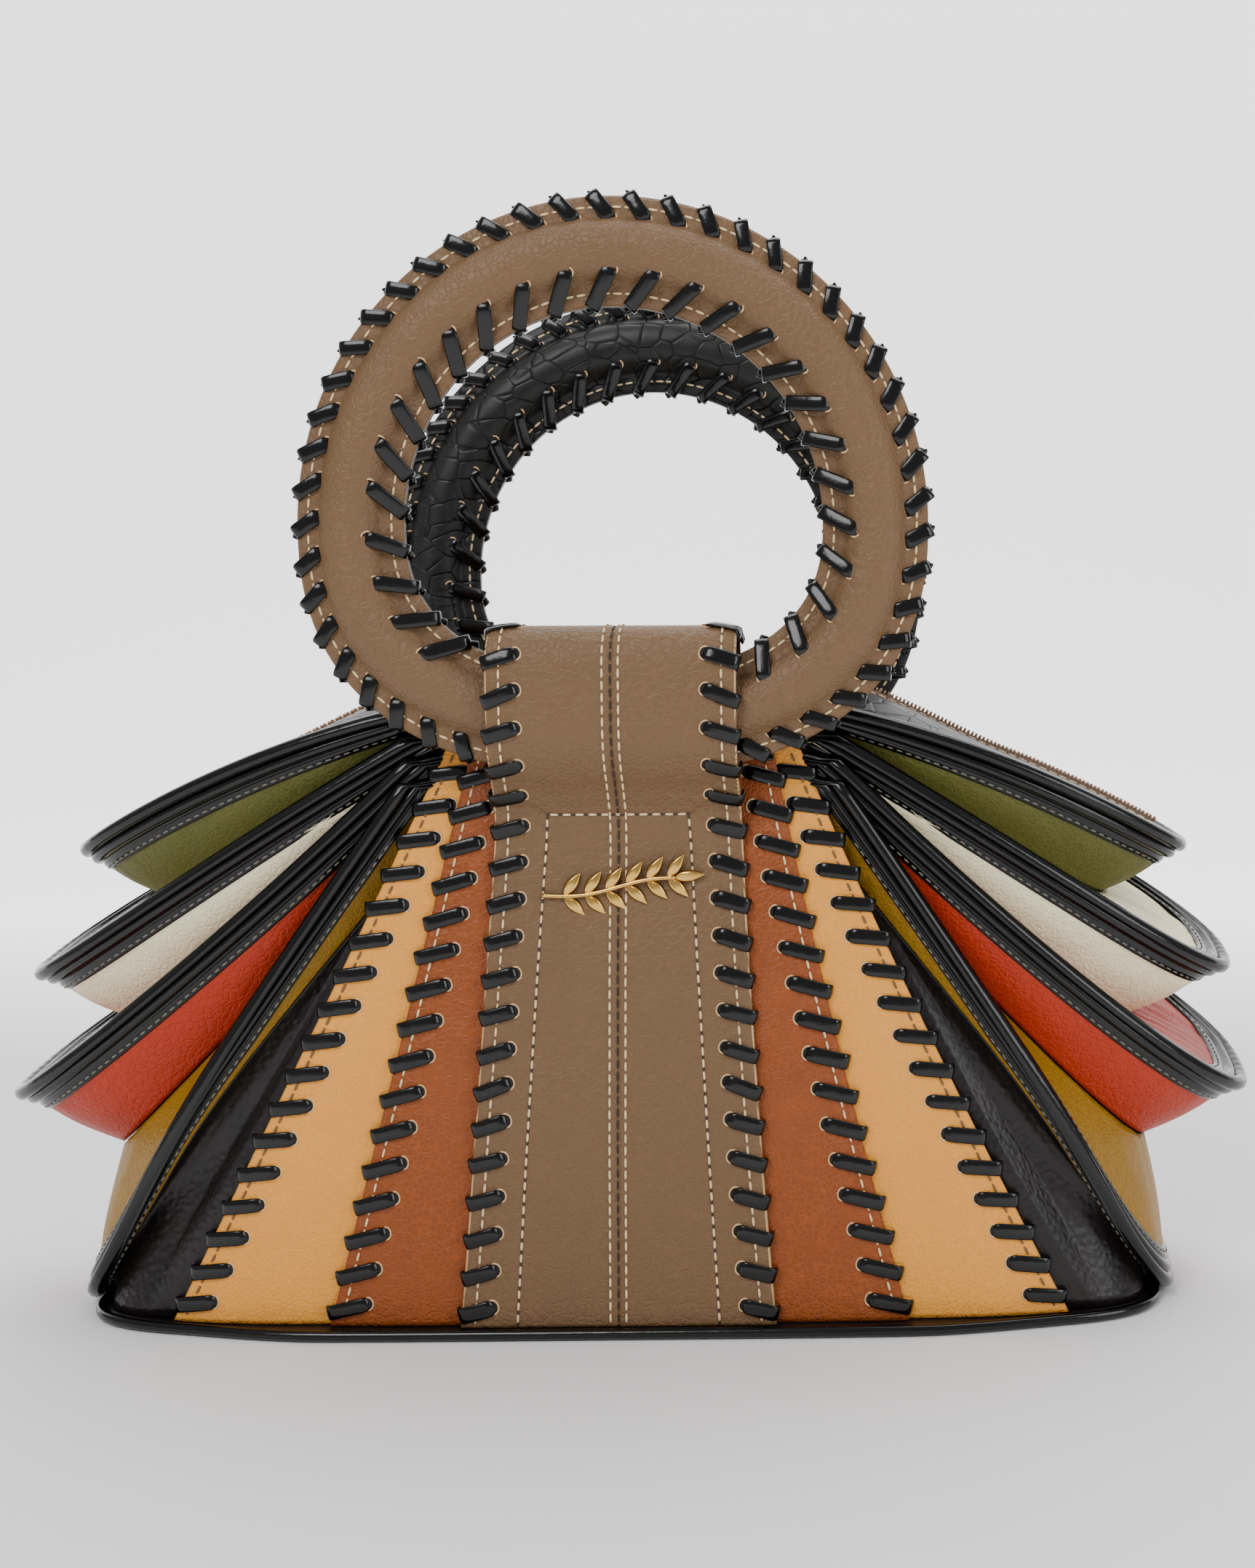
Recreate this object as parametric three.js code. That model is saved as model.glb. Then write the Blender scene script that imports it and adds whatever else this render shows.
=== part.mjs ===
// A structured fan-sided handbag with two padded ring handles.
// Millimetres, +Z up. X runs along the bag, the front faces -Y, and the origin is the
// middle of the base's underside.
import * as THREE from 'three';

// Base
const BASE_HALF_WIDTH = 180;
const BASE_HALF_DEPTH = 60.5;
const BASE_THICKNESS = 3;
const BASE_SQUARENESS = 5;
const BASE_TAPER = 4.5;
const BASE_PIPING_RADIUS = 1.8;
const BASE_PIPING_STEPS = 64;

// Walls
const WALL_HEIGHT = 205;
const PANEL_THICKNESS = 1.5;
const GUSSET_THICKNESS = 1.6;
const STRAP_THICKNESS = 2.6;
const LEAF_BELLY = 0.8;
const GAP = 0.3;

// Piped fold edges
const HOOP_RADIUS = 2.5;
const HOOP_SIDES = 6;
const HOOP_STEPS = 27;

// Top panel and zip
const ZIP_HALF_WIDTH = 4.2;
const ZIP_THICKNESS = 1.4;
const ZIP_TEETH_HALF_WIDTH = 1.6;
const ZIP_TEETH_HEIGHT = 1.1;
const TOP_CROWN = 4;

// Ring handles
const RING_CENTRE_HEIGHT = 266;
const RING_INSET = 6.5;
const RING_MID_DEPTH = BASE_HALF_DEPTH - RING_INSET;
const BACK_RING_DROP = 10;
const BACK_RING_SETOUT = 0.8;
const RING_OUTER_HALF_WIDTH = 102.5;
const RING_INNER_HALF_WIDTH = 68;
const RING_THICKNESS = 17;
const RING_RIM_THICKNESS = 3.6;
const RING_STATIONS = 32;

// Strap
const STRAP_HALF_WIDTH = 51.5;
const STRAP_LOOP_TOP = 233;

// Ornament
const ORNAMENT_LENGTH = 50;
const ORNAMENT_HEIGHT = 15;
const ORNAMENT_THICKNESS = 1.6;
const ORNAMENT_BEVEL = 0.7;
const ORNAMENT_STANDOFF = 1.6;
const ORNAMENT_CENTRE_HEIGHT = 147;
const ORNAMENT_TILT = THREE.MathUtils.degToRad(6);

const COLOURS = {
  taupe: '#85694f', rust: '#965833', tan: '#d2a068', green: '#6b663a', cream: '#e0d6bc',
  red: '#b5431f', mustard: '#a37a2c', dark: '#2e2522', croc: '#33312f', patent: '#232221',
  zip: '#60534a', gold: '#c9a552',
};

const FINISH = {
  leather: { roughness: 0.55, metalness: 0 },
  patent: { roughness: 0.2, metalness: 0 },
  cloth: { roughness: 0.85, metalness: 0 },
  metal: { roughness: 0.25, metalness: 1 },
};

const group = new THREE.Group();

function addMesh(name, geometry, colour, finish) {
  const material = new THREE.MeshStandardMaterial({ color: COLOURS[colour], ...FINISH[finish] });
  const mesh = new THREE.Mesh(geometry, material);
  mesh.name = name;
  group.add(mesh);
  return mesh;
}

// A solid lofted through sections, each a closed polygon with the same number of points.
// An open loft is capped by pairing the polygon's first points with its last ones.
function loft(sections, closed = false) {
  const count = sections[0].length;
  const positions = [];
  sections.forEach((section) => section.forEach((p) => positions.push(p.x, p.y, p.z)));
  const triangles = [];
  const quad = (a, b, c, d) => triangles.push([a, b, c], [a, c, d]);
  const spans = closed ? sections.length : sections.length - 1;
  for (let i = 0; i < spans; i += 1) {
    const here = i * count;
    const next = ((i + 1) % sections.length) * count;
    for (let j = 0; j < count; j += 1) {
      const k = (j + 1) % count;
      quad(here + j, here + k, next + k, next + j);
    }
  }
  if (!closed) {
    const last = (sections.length - 1) * count;
    for (let j = 0; j < count / 2 - 1; j += 1) {
      const k = count - 1 - j;
      quad(k, k - 1, j + 1, j);
      quad(last + j, last + j + 1, last + k - 1, last + k);
    }
  }
  if (signedVolume(positions, triangles) < 0) triangles.forEach((t) => t.reverse());
  const geometry = new THREE.BufferGeometry();
  geometry.setAttribute('position', new THREE.Float32BufferAttribute(positions, 3));
  geometry.setIndex(triangles.flat());
  geometry.computeVertexNormals();
  return geometry;
}

function signedVolume(positions, triangles) {
  const point = (i) => new THREE.Vector3().fromArray(positions, i * 3);
  return triangles.reduce((sum, [a, b, c]) => sum + point(a).dot(point(b).cross(point(c))), 0);
}

// A leather wall: rows of points on its outer face, thickened towards the inside of the bag.
// Corners of the wall are mitred so that it keeps its thickness round a fold.
function wall(rows, thickness, insideSign) {
  const faceNormal = (i, j) => {
    const a = rows[i][j];
    const across = rows[i][j + 1].clone().sub(a);
    const along = rows[i + 1][j].clone().sub(a);
    return along.cross(across).normalize();
  };
  const lastRow = rows.length - 2;
  const lastColumn = rows[0].length - 2;
  const sections = rows.map((row, i) => {
    const inner = row.map((p, j) => {
      const faces = [];
      for (const r of new Set([Math.max(i - 1, 0), Math.min(i, lastRow)])) {
        for (const c of new Set([Math.max(j - 1, 0), Math.min(j, lastColumn)])) {
          faces.push(faceNormal(r, c));
        }
      }
      const mean = faces.reduce((sum, n) => sum.add(n), new THREE.Vector3()).divideScalar(faces.length);
      const mitre = Math.min(1 / mean.length(), 1.5);
      return p.clone().addScaledVector(mean.normalize(), insideSign * thickness * mitre);
    });
    return [...row, ...inner.reverse()];
  });
  return loft(sections);
}

function tube(points, radius, steps, sides = HOOP_SIDES) {
  const corners = [];
  for (let i = 0; i < sides; i += 1) {
    const angle = (i / sides) * 2 * Math.PI;
    corners.push(new THREE.Vector2(radius * Math.cos(angle), radius * Math.sin(angle)));
  }
  const extrudePath = new THREE.CatmullRomCurve3(points);
  return new THREE.ExtrudeGeometry(new THREE.Shape(corners), { steps, extrudePath });
}

// A table of heights and lengths as a smooth function of height.
function profile(rows) {
  return (height) => {
    let i = 0;
    while (i < rows.length - 2 && height > rows[i + 1][0]) i += 1;
    const [h0, v0] = rows[i];
    const [h1, v1] = rows[i + 1];
    return THREE.MathUtils.lerp(v0, v1, THREE.MathUtils.clamp((height - h0) / (h1 - h0), 0, 1));
  };
}

// Point on a rounded rectangle of unit half sizes, at an angle from the -Y axis.
function roundedUnit(angle, squareness) {
  const s = Math.sin(angle);
  const c = -Math.cos(angle);
  const radius = (Math.abs(s) ** squareness + Math.abs(c) ** squareness) ** (-1 / squareness);
  return new THREE.Vector2(s * radius, c * radius);
}

// Front wall. Half depth of its lowest layer: height as a share of WALL_HEIGHT, half depth as a
// share of BASE_HALF_DEPTH. It leans in under the rings.
const FRONT_PROFILE = [
  [0, 0.876], [0.29, 0.86], [0.585, 0.8], [0.78, 0.727], [0.85, 0.677], [0.9, 0.636], [1, 0.585],
].map(([height, depth]) => [height * WALL_HEIGHT, depth * BASE_HALF_DEPTH]);
const frontDepth = profile(FRONT_PROFILE);
const WALL_FOOT = BASE_THICKNESS + GAP;
const STRAP_SHAPE_TOP = 0.9;
const WALL_ROWS = [
  WALL_FOOT,
  ...[0.145, 0.29, 0.44, 0.585, 0.685, 0.78, 0.85, STRAP_SHAPE_TOP].map((share) => share * WALL_HEIGHT),
];
const LAYER_STEP = PANEL_THICKNESS + GAP;

// Fall-off of the wall's depth towards the bag's corners.
function cornerShare(x) {
  const share = Math.min(Math.abs(x) / BASE_HALF_WIDTH, 0.98);
  return (1 - share ** BASE_SQUARENESS) ** (1 / BASE_SQUARENESS);
}

// Front panels. Half widths as shares of BASE_HALF_WIDTH at the foot, at the top and the flare of
// the edge between them; the top as a share of WALL_HEIGHT; layer 0 is the deepest.
const PANELS = {
  rust: { layer: 2, foot: 0.528, head: 0.272, flare: 1.12, top: 0.985 },
  tan: { layer: 1, foot: 0.826, head: 0.31, flare: 1.08, top: 0.985 },
};
const STRAP_SHAPE = { foot: STRAP_HALF_WIDTH, head: 0.78 * STRAP_HALF_WIDTH, flare: 1.3 };
const LAP = 9;

function edgeAt(shape, height, footWidth, headWidth, top) {
  const share = THREE.MathUtils.clamp((height - WALL_FOOT) / (top - WALL_FOOT), 0, 1);
  return headWidth + (footWidth - headWidth) * (1 - share) ** shape.flare;
}

const panelEdge = (shape, height) => edgeAt(
  shape, height, shape.foot * BASE_HALF_WIDTH, shape.head * BASE_HALF_WIDTH, shape.top * WALL_HEIGHT);
const strapEdge = (height) => edgeAt(
  STRAP_SHAPE, height, STRAP_SHAPE.foot, STRAP_SHAPE.head, STRAP_SHAPE_TOP * WALL_HEIGHT);

// One side panel of the front or back wall, between the lap under its neighbour and its own edge.
function sidePanel(shape, innerEdge, side, face) {
  const top = shape.top * WALL_HEIGHT;
  const heights = [...WALL_ROWS, top];
  const rows = heights.map((z) => {
    const inner = innerEdge(z) - LAP;
    const outer = panelEdge(shape, z);
    return [0, 0.33, 0.67, 1].map((share) => {
      const x = THREE.MathUtils.lerp(inner, outer, share);
      const y = frontDepth(z) * cornerShare(x) + shape.layer * LAYER_STEP;
      return new THREE.Vector3(side * x, face * y, z);
    });
  });
  return wall(rows, PANEL_THICKNESS, -side * face);
}

// Fan folds. Each row follows one fold line from its start behind the ring's foot, round the
// bag's end to the tip of the fold. Reach is a share of BASE_HALF_WIDTH, height a share of
// WALL_HEIGHT, depth a share of BASE_HALF_DEPTH, bow and rear lift shares of WALL_HEIGHT. The
// soft folds have settled with their rear edges higher than their front ones.
const FOLDS = {
  ridge1: {
    start: [0.39, 1.0, 0.655], tip: [1.075, 0.75], side: 0.66, bow: 0.028, rearLift: 0.02, squareness: 2.5,
  },
  valley1: {
    start: [0.31, 0.972, 0.5], tip: [0.92, 0.66], side: 0.5, bow: 0, rearLift: 0.04, squareness: 2.6,
  },
  ridge2: {
    start: [0.39, 0.955, 0.67], tip: [1.16, 0.512], side: 0.78, bow: 0.012, rearLift: 0.1, squareness: 2.7,
  },
  valley2: {
    start: [0.305, 0.93, 0.52], tip: [0.97, 0.43], side: 0.62, bow: 0, rearLift: 0.09, squareness: 2.8,
  },
  ridge3: {
    start: [0.393, 0.917, 0.69], tip: [1.19, 0.315], side: 0.9, bow: -0.018, rearLift: 0.1, squareness: 2.9,
  },
  valley3: {
    start: [0.3, 0.892, 0.535], tip: [1.0, 0.24], side: 0.74, bow: -0.014, rearLift: 0.05, squareness: 3,
  },
  ridge4: {
    start: [0.4, 0.88, 0.71], tip: [1.04, 0.043], side: 0.96, bow: 0.006, rearLift: 0.015, squareness: 3.3,
  },
  valley4: {
    start: [0.3, 0.845, 0.555], tip: [0.965, 0.06], side: 0.83, bow: 0, rearLift: 0, squareness: 3.5,
  },
};

function foldPoint(fold, angle, side) {
  const unit = roundedUnit(angle, fold.squareness);
  const [startReach, startHeight, startDepth] = fold.start;
  const [tipReach, tipHeight] = fold.tip;
  const share = unit.x;
  const x = THREE.MathUtils.lerp(startReach, tipReach, share) * BASE_HALF_WIDTH;
  const y = unit.y * THREE.MathUtils.lerp(startDepth, fold.side, share) * BASE_HALF_DEPTH;
  const bow = 4 * fold.bow * share * (1 - share);
  const lift = fold.rearLift * share * (1 + unit.y) * 0.5;
  const z = (THREE.MathUtils.lerp(startHeight, tipHeight, share) + bow + lift) * WALL_HEIGHT;
  return new THREE.Vector3(side * x, y, z);
}

const GUSSET_STATIONS = 18;
const gussetAngles = Array.from(
  { length: GUSSET_STATIONS + 1 }, (_, i) => (i / GUSSET_STATIONS) * Math.PI);
const CREST_SETBACK = HOOP_RADIUS + 7 * GAP;
const VALLEY_SETBACK = 0.8;
const LOWER_SETBACK = 6.3;
const TOP_SETBACK = CREST_SETBACK + 3 * GAP;
const LEAF_SETBACK = HOOP_RADIUS + 2 * GAP;
const FOOT_LIFT = 0.6;
const FOOT_SETBACK = 2.5;
const FOOT_SWELL = 0.04;

// The wall's crest stops short of the piped edge, towards the middle of the two valleys.
function setBack(point, target, distance) {
  return point.clone().add(target.clone().sub(point).setLength(distance));
}

// The middle of a leaf, a little swollen.
function belly(a, b, outward) {
  return a.clone().lerp(b, 0.5).addScaledVector(outward, LEAF_BELLY);
}

// A folded petal: valley, top leaf, crest, under leaf, valley.
function petal(upper, ridge, lower, side) {
  const rows = gussetAngles.map((angle) => {
    const a = foldPoint(upper, angle, side);
    const r = foldPoint(ridge, angle, side);
    const b = foldPoint(lower, angle, side);
    const crest = setBack(r, a.clone().lerp(b, 0.5), CREST_SETBACK);
    const from = setBack(a, crest, VALLEY_SETBACK);
    const to = setBack(b, crest, VALLEY_SETBACK);
    const outward = crest.clone().sub(from.clone().lerp(to, 0.5)).normalize();
    return [from, belly(from, crest, outward), crest, belly(crest, to, outward), to];
  });
  return wall(rows, GUSSET_THICKNESS, side);
}

// The under leaf of the topmost petal.
function underLeaf(ridge, lower, side) {
  const rows = gussetAngles.map((angle) => {
    const r = foldPoint(ridge, angle, side);
    const b = foldPoint(lower, angle, side);
    const crest = setBack(r, b, LEAF_SETBACK);
    const to = setBack(b, r, VALLEY_SETBACK);
    return [crest, crest.clone().lerp(to, 0.5), to];
  });
  return wall(rows, GUSSET_THICKNESS, side);
}

// The plain lower gusset: from the last valley down to the base, and in behind the tan panels.
function lowerGusset(side) {
  const footReach = BASE_HALF_WIDTH - FOOT_SETBACK;
  const footDepth = frontDepth(WALL_FOOT);
  const startShare = (PANELS.tan.foot * BASE_HALF_WIDTH - LAP) / footReach;
  const startAngle = Math.atan2(startShare, cornerShare(startShare * BASE_HALF_WIDTH));
  const rows = gussetAngles.map((angle) => {
    const top = foldPoint(FOLDS.valley4, angle, side);
    const unit = roundedUnit(THREE.MathUtils.lerp(startAngle, Math.PI - startAngle, angle / Math.PI),
      BASE_SQUARENESS);
    const swell = 1 + FOOT_SWELL * THREE.MathUtils.smoothstep(unit.x, startShare, 1);
    const foot = new THREE.Vector3(
      side * unit.x * footReach, unit.y * footDepth * swell, WALL_FOOT + FOOT_LIFT);
    const from = setBack(top, foot, LOWER_SETBACK);
    return [from, from.clone().lerp(foot, 0.35), from.clone().lerp(foot, 0.7), foot];
  });
  return wall(rows, GUSSET_THICKNESS, side);
}

// Lines across the top, from end to end: place along X, height, and half depth of the edge.
// Between the ends of the folds the edge reaches the front and back panels.
const MIDDLE_EDGE = 0.612 * BASE_HALF_DEPTH;

function topStations() {
  const ridge = FOLDS.ridge1;
  const start = foldPoint(ridge, 0, 1);
  const middle = [0, 0.5, 0.85].map((share) => ({
    x: share * start.x, edge: MIDDLE_EDGE, height: start.z + TOP_CROWN * (1 - share ** 2),
  }));
  const ends = [0, 10, 20, 30, 40, 50, 60].map((degrees) => {
    const p = foldPoint(ridge, THREE.MathUtils.degToRad(degrees), 1);
    return { x: p.x, edge: -p.y - TOP_SETBACK, height: p.z };
  });
  const half = [...middle, ...ends];
  const mirrored = half.slice(1).reverse().map((s) => ({ ...s, x: -s.x }));
  return [...mirrored, ...half];
}

function topHalf(face) {
  const rows = topStations().map(({ x, edge, height }) => {
    const inner = ZIP_HALF_WIDTH + GAP;
    return [0, 0.5, 1].map((share) => {
      const y = THREE.MathUtils.lerp(inner, edge, share);
      return new THREE.Vector3(x, face * y, height + TOP_CROWN * 0.5 * (1 - share ** 2));
    });
  });
  return wall(rows, GUSSET_THICKNESS, -face);
}

// The zip's tape with its raised row of teeth, laid along the middle of the top.
function zip() {
  const sections = topStations().map(({ x, height }) => {
    const z = height + TOP_CROWN * 0.5;
    const p = (y, rise) => new THREE.Vector3(x, y, z + rise);
    return [
      p(-ZIP_HALF_WIDTH, -ZIP_THICKNESS), p(-ZIP_HALF_WIDTH, 0), p(-ZIP_TEETH_HALF_WIDTH, 0),
      p(-ZIP_TEETH_HALF_WIDTH * 0.6, ZIP_TEETH_HEIGHT), p(ZIP_TEETH_HALF_WIDTH * 0.6, ZIP_TEETH_HEIGHT),
      p(ZIP_TEETH_HALF_WIDTH, 0), p(ZIP_HALF_WIDTH, 0), p(ZIP_HALF_WIDTH, -ZIP_THICKNESS),
    ];
  });
  return loft(sections);
}

// Ring handles. The lower half is flattened: its drop as a share of the half width.
const RING_RISE = 1.035;
const RING_OUTER_DROP = 0.8;
const RING_INNER_DROP = 0.72;
const RING_FOOT_SQUARENESS = 2.4;

// The back ring has settled lower in its strap than the front one.
function ringPlace(face) {
  return face < 0
    ? [RING_CENTRE_HEIGHT, RING_MID_DEPTH]
    : [RING_CENTRE_HEIGHT - BACK_RING_DROP, RING_MID_DEPTH + BACK_RING_SETOUT];
}

function ringLine(halfWidth, dropShare, angle) {
  const s = Math.sin(angle);
  const c = Math.cos(angle);
  if (c >= 0) return new THREE.Vector2(halfWidth * s, halfWidth * RING_RISE * c);
  const n = RING_FOOT_SQUARENESS;
  const radius = (Math.abs(s) ** n + Math.abs(c) ** n) ** (-1 / n);
  return new THREE.Vector2(halfWidth * s * radius, halfWidth * dropShare * c * radius);
}

// Padded section of one half: share of the band's width, and height over the middle plane as a
// share of half the ring's thickness. Flat flanges run along both rims.
const RING_SECTION = [
  [0, RING_RIM_THICKNESS / RING_THICKNESS], [0.13, 0.26], [0.28, 0.8], [0.5, 1], [0.72, 0.8],
  [0.87, 0.26], [1, RING_RIM_THICKNESS / RING_THICKNESS],
];

function ringHalf(face, outward) {
  const [height, depth] = ringPlace(face);
  const sections = [];
  for (let i = 0; i < RING_STATIONS; i += 1) {
    const angle = (i / RING_STATIONS) * 2 * Math.PI;
    const inner = ringLine(RING_INNER_HALF_WIDTH, RING_INNER_DROP, angle);
    const outer = ringLine(RING_OUTER_HALF_WIDTH, RING_OUTER_DROP, angle);
    const place = (share, rise) => {
      const at = inner.clone().lerp(outer, share);
      return new THREE.Vector3(at.x, face * (depth + outward * rise), height + at.y);
    };
    const crown = RING_SECTION.map(([share, rise]) => place(share, rise * RING_THICKNESS * 0.5));
    sections.push([...crown, place(1, GAP * 0.5), place(0, GAP * 0.5)]);
  }
  return loft(sections, true);
}

// Strap: it climbs the wall, swells over the ring's foot, turns through the ring and ends behind it.
// Heights as shares of STRAP_LOOP_TOP and half depths as shares of RING_MID_DEPTH, middle of the
// strap's thickness.
const STRAP_OVER_RING = [
  [0.735, 0.93], [0.765, 0.99], [0.8, 1.115], [0.84, 1.19], [0.9, 1.207], [0.955, 1.2],
  [0.985, 1.12], [0.994, 1.0], [0.985, 0.88], [0.955, 0.815], [0.9, 0.803], [0.84, 0.8],
];

function strap(face) {
  const [ringHeight, ringDepth] = ringPlace(face);
  const drop = RING_CENTRE_HEIGHT - ringHeight;
  const onWall = WALL_ROWS.filter((z) => z < 0.7 * STRAP_LOOP_TOP - drop).map((z) => {
    return [z, frontDepth(z) + 3 * LAYER_STEP - PANEL_THICKNESS + STRAP_THICKNESS * 0.5];
  });
  const route = onWall.concat(STRAP_OVER_RING.map(([z, y]) => [z * STRAP_LOOP_TOP - drop, y * ringDepth]));
  const line = route.map(([z, y]) => new THREE.Vector2(y, z));
  const sections = line.map((at, i) => {
    const before = line[Math.max(i - 1, 0)];
    const after = line[Math.min(i + 1, line.length - 1)];
    const along = after.clone().sub(before).normalize();
    const normal = i === 0 ? new THREE.Vector2(1, 0) : new THREE.Vector2(along.y, -along.x);
    const halfWidth = strapEdge(i < line.length - 4 ? at.y : WALL_HEIGHT);
    const corner = (x, side) => {
      const p = at.clone().addScaledVector(normal, side * STRAP_THICKNESS * 0.5);
      return new THREE.Vector3(x, face * p.x, p.y);
    };
    return [corner(-halfWidth, 1), corner(halfWidth, 1), corner(halfWidth, -1), corner(-halfWidth, -1)];
  });
  return loft(sections);
}

// The base's outline at a distance outside its edge. Its depth follows the layers of the walls,
// fewest at the corners.
const BASE_TAPER_FROM = PANELS.rust.foot;
const BASE_TAPER_TO = PANELS.tan.foot;

function baseOutline(angle, out) {
  const unit = roundedUnit(angle, BASE_SQUARENESS);
  const taper = BASE_TAPER * THREE.MathUtils.smoothstep(Math.abs(unit.x), BASE_TAPER_FROM, BASE_TAPER_TO);
  return new THREE.Vector2(
    unit.x * (BASE_HALF_WIDTH + out), unit.y * (BASE_HALF_DEPTH - taper + out));
}

function base() {
  const outline = [];
  const corners = 40;
  for (let i = 0; i < corners; i += 1) {
    outline.push(baseOutline((i / corners) * 2 * Math.PI, 0));
  }
  const options = { depth: BASE_THICKNESS, bevelEnabled: false };
  return new THREE.ExtrudeGeometry(new THREE.Shape(outline), options);
}

// The piping round the base, with its two ends meeting at the middle of the back.
const BASE_PIPING_OUT = BASE_PIPING_RADIUS + GAP + 0.25;
const BASE_PIPING_END = 0.004;
const BASE_PIPING_POINTS = 36;

function basePiping() {
  const points = [];
  for (let i = 0; i <= BASE_PIPING_POINTS; i += 1) {
    const turn = BASE_PIPING_END + (1 - 2 * BASE_PIPING_END) * (i / BASE_PIPING_POINTS);
    const at = baseOutline(Math.PI + 2 * Math.PI * turn, BASE_PIPING_OUT);
    points.push(new THREE.Vector3(at.x, at.y, BASE_PIPING_RADIUS + GAP));
  }
  return tube(points, BASE_PIPING_RADIUS, BASE_PIPING_STEPS);
}

// A slim gilt sprig: one lobed outline with a soft bevel.
function ornament() {
  const lobes = 5;
  const steps = 20;
  const edge = (sign, from, to) => {
    const points = [];
    for (let i = from; i !== to; i += Math.sign(to - from)) {
      const share = i / steps;
      const taper = Math.sin(Math.PI * (0.06 + 0.88 * share)) ** 0.6;
      const lobe = 0.62 + 0.38 * Math.abs(Math.sin(Math.PI * lobes * share));
      points.push(new THREE.Vector2(
        (share - 0.5) * ORNAMENT_LENGTH, sign * 0.5 * ORNAMENT_HEIGHT * taper * lobe));
    }
    return points;
  };
  const outline = [...edge(-1, 0, steps + 1), ...edge(1, steps, -1)];
  const options = {
    depth: ORNAMENT_THICKNESS, bevelEnabled: true, bevelThickness: ORNAMENT_BEVEL,
    bevelSize: ORNAMENT_BEVEL, bevelOffset: -ORNAMENT_BEVEL, bevelSegments: 1, curveSegments: 1,
  };
  return new THREE.ExtrudeGeometry(new THREE.Shape(outline), options);
}

addMesh('base_panel', base(), 'dark', 'leather');
addMesh('base_piping', basePiping(), 'patent', 'patent');

for (const [end, face] of [['front', -1], ['back', 1]]) {
  addMesh(`${end}_strap`, strap(face), 'taupe', 'leather');
  addMesh(`${end}_ring_outer_face`, ringHalf(face, 1), 'taupe', 'leather');
  addMesh(`${end}_ring_inner_face`, ringHalf(face, -1), 'croc', 'leather');
  addMesh(`top_${end}`, topHalf(face), 'croc', 'leather');
  for (const [hand, side] of [['left', -1], ['right', 1]]) {
    addMesh(`rust_panel_${end}_${hand}`, sidePanel(PANELS.rust, strapEdge, side, face), 'rust', 'leather');
    const rustEdge = (z) => panelEdge(PANELS.rust, z);
    addMesh(`tan_panel_${end}_${hand}`, sidePanel(PANELS.tan, rustEdge, side, face), 'tan', 'leather');
  }
}

for (const [hand, side] of [['left', -1], ['right', 1]]) {
  const { ridge1, valley1, ridge2, valley2, ridge3, valley3, ridge4, valley4 } = FOLDS;
  addMesh(`green_leaf_${hand}`, underLeaf(ridge1, valley1, side), 'green', 'leather');
  addMesh(`cream_fold_${hand}`, petal(valley1, ridge2, valley2, side), 'cream', 'leather');
  addMesh(`red_fold_${hand}`, petal(valley2, ridge3, valley3, side), 'red', 'leather');
  addMesh(`mustard_fold_${hand}`, petal(valley3, ridge4, valley4, side), 'mustard', 'leather');
  addMesh(`lower_gusset_${hand}`, lowerGusset(side), 'dark', 'leather');
  [ridge1, ridge2, ridge3, ridge4].forEach((ridge, i) => {
    const points = gussetAngles.map((angle) => foldPoint(ridge, angle, side));
    const piping = tube(points, HOOP_RADIUS, HOOP_STEPS);
    addMesh(`piping_${i + 1}_${hand}`, piping, 'patent', 'patent');
  });
}

addMesh('zip', zip(), 'zip', 'cloth');

const sprig = addMesh('ornament', ornament(), 'gold', 'metal');
const sprigDepth = frontDepth(ORNAMENT_CENTRE_HEIGHT) + 3 * LAYER_STEP - PANEL_THICKNESS + STRAP_THICKNESS;
sprig.rotation.set(Math.PI / 2, 0, 0);
sprig.rotateZ(ORNAMENT_TILT);
const sprigStandoff = ORNAMENT_BEVEL + ORNAMENT_STANDOFF;
sprig.position.set(0, -(sprigDepth + sprigStandoff), ORNAMENT_CENTRE_HEIGHT);

export default group;
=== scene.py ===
import math

import bmesh
import bpy
import numpy as np
from mathutils import Matrix, Vector


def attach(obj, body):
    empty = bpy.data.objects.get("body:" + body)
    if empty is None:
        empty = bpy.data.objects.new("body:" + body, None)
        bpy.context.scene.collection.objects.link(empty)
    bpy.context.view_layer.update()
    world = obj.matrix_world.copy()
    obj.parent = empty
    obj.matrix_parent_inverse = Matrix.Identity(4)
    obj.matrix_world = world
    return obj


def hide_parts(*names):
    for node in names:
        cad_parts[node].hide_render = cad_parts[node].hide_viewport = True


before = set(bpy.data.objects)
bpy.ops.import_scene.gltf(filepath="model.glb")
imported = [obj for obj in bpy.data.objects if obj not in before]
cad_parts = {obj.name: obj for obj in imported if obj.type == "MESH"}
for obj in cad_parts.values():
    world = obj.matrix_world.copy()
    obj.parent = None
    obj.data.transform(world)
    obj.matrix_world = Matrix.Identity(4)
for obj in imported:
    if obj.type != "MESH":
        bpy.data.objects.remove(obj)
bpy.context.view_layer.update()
MM = 0.001
FRONT, BACK = -1, 1
LEFT, RIGHT = -1, 1
RNG = np.random.default_rng(7)

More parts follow.
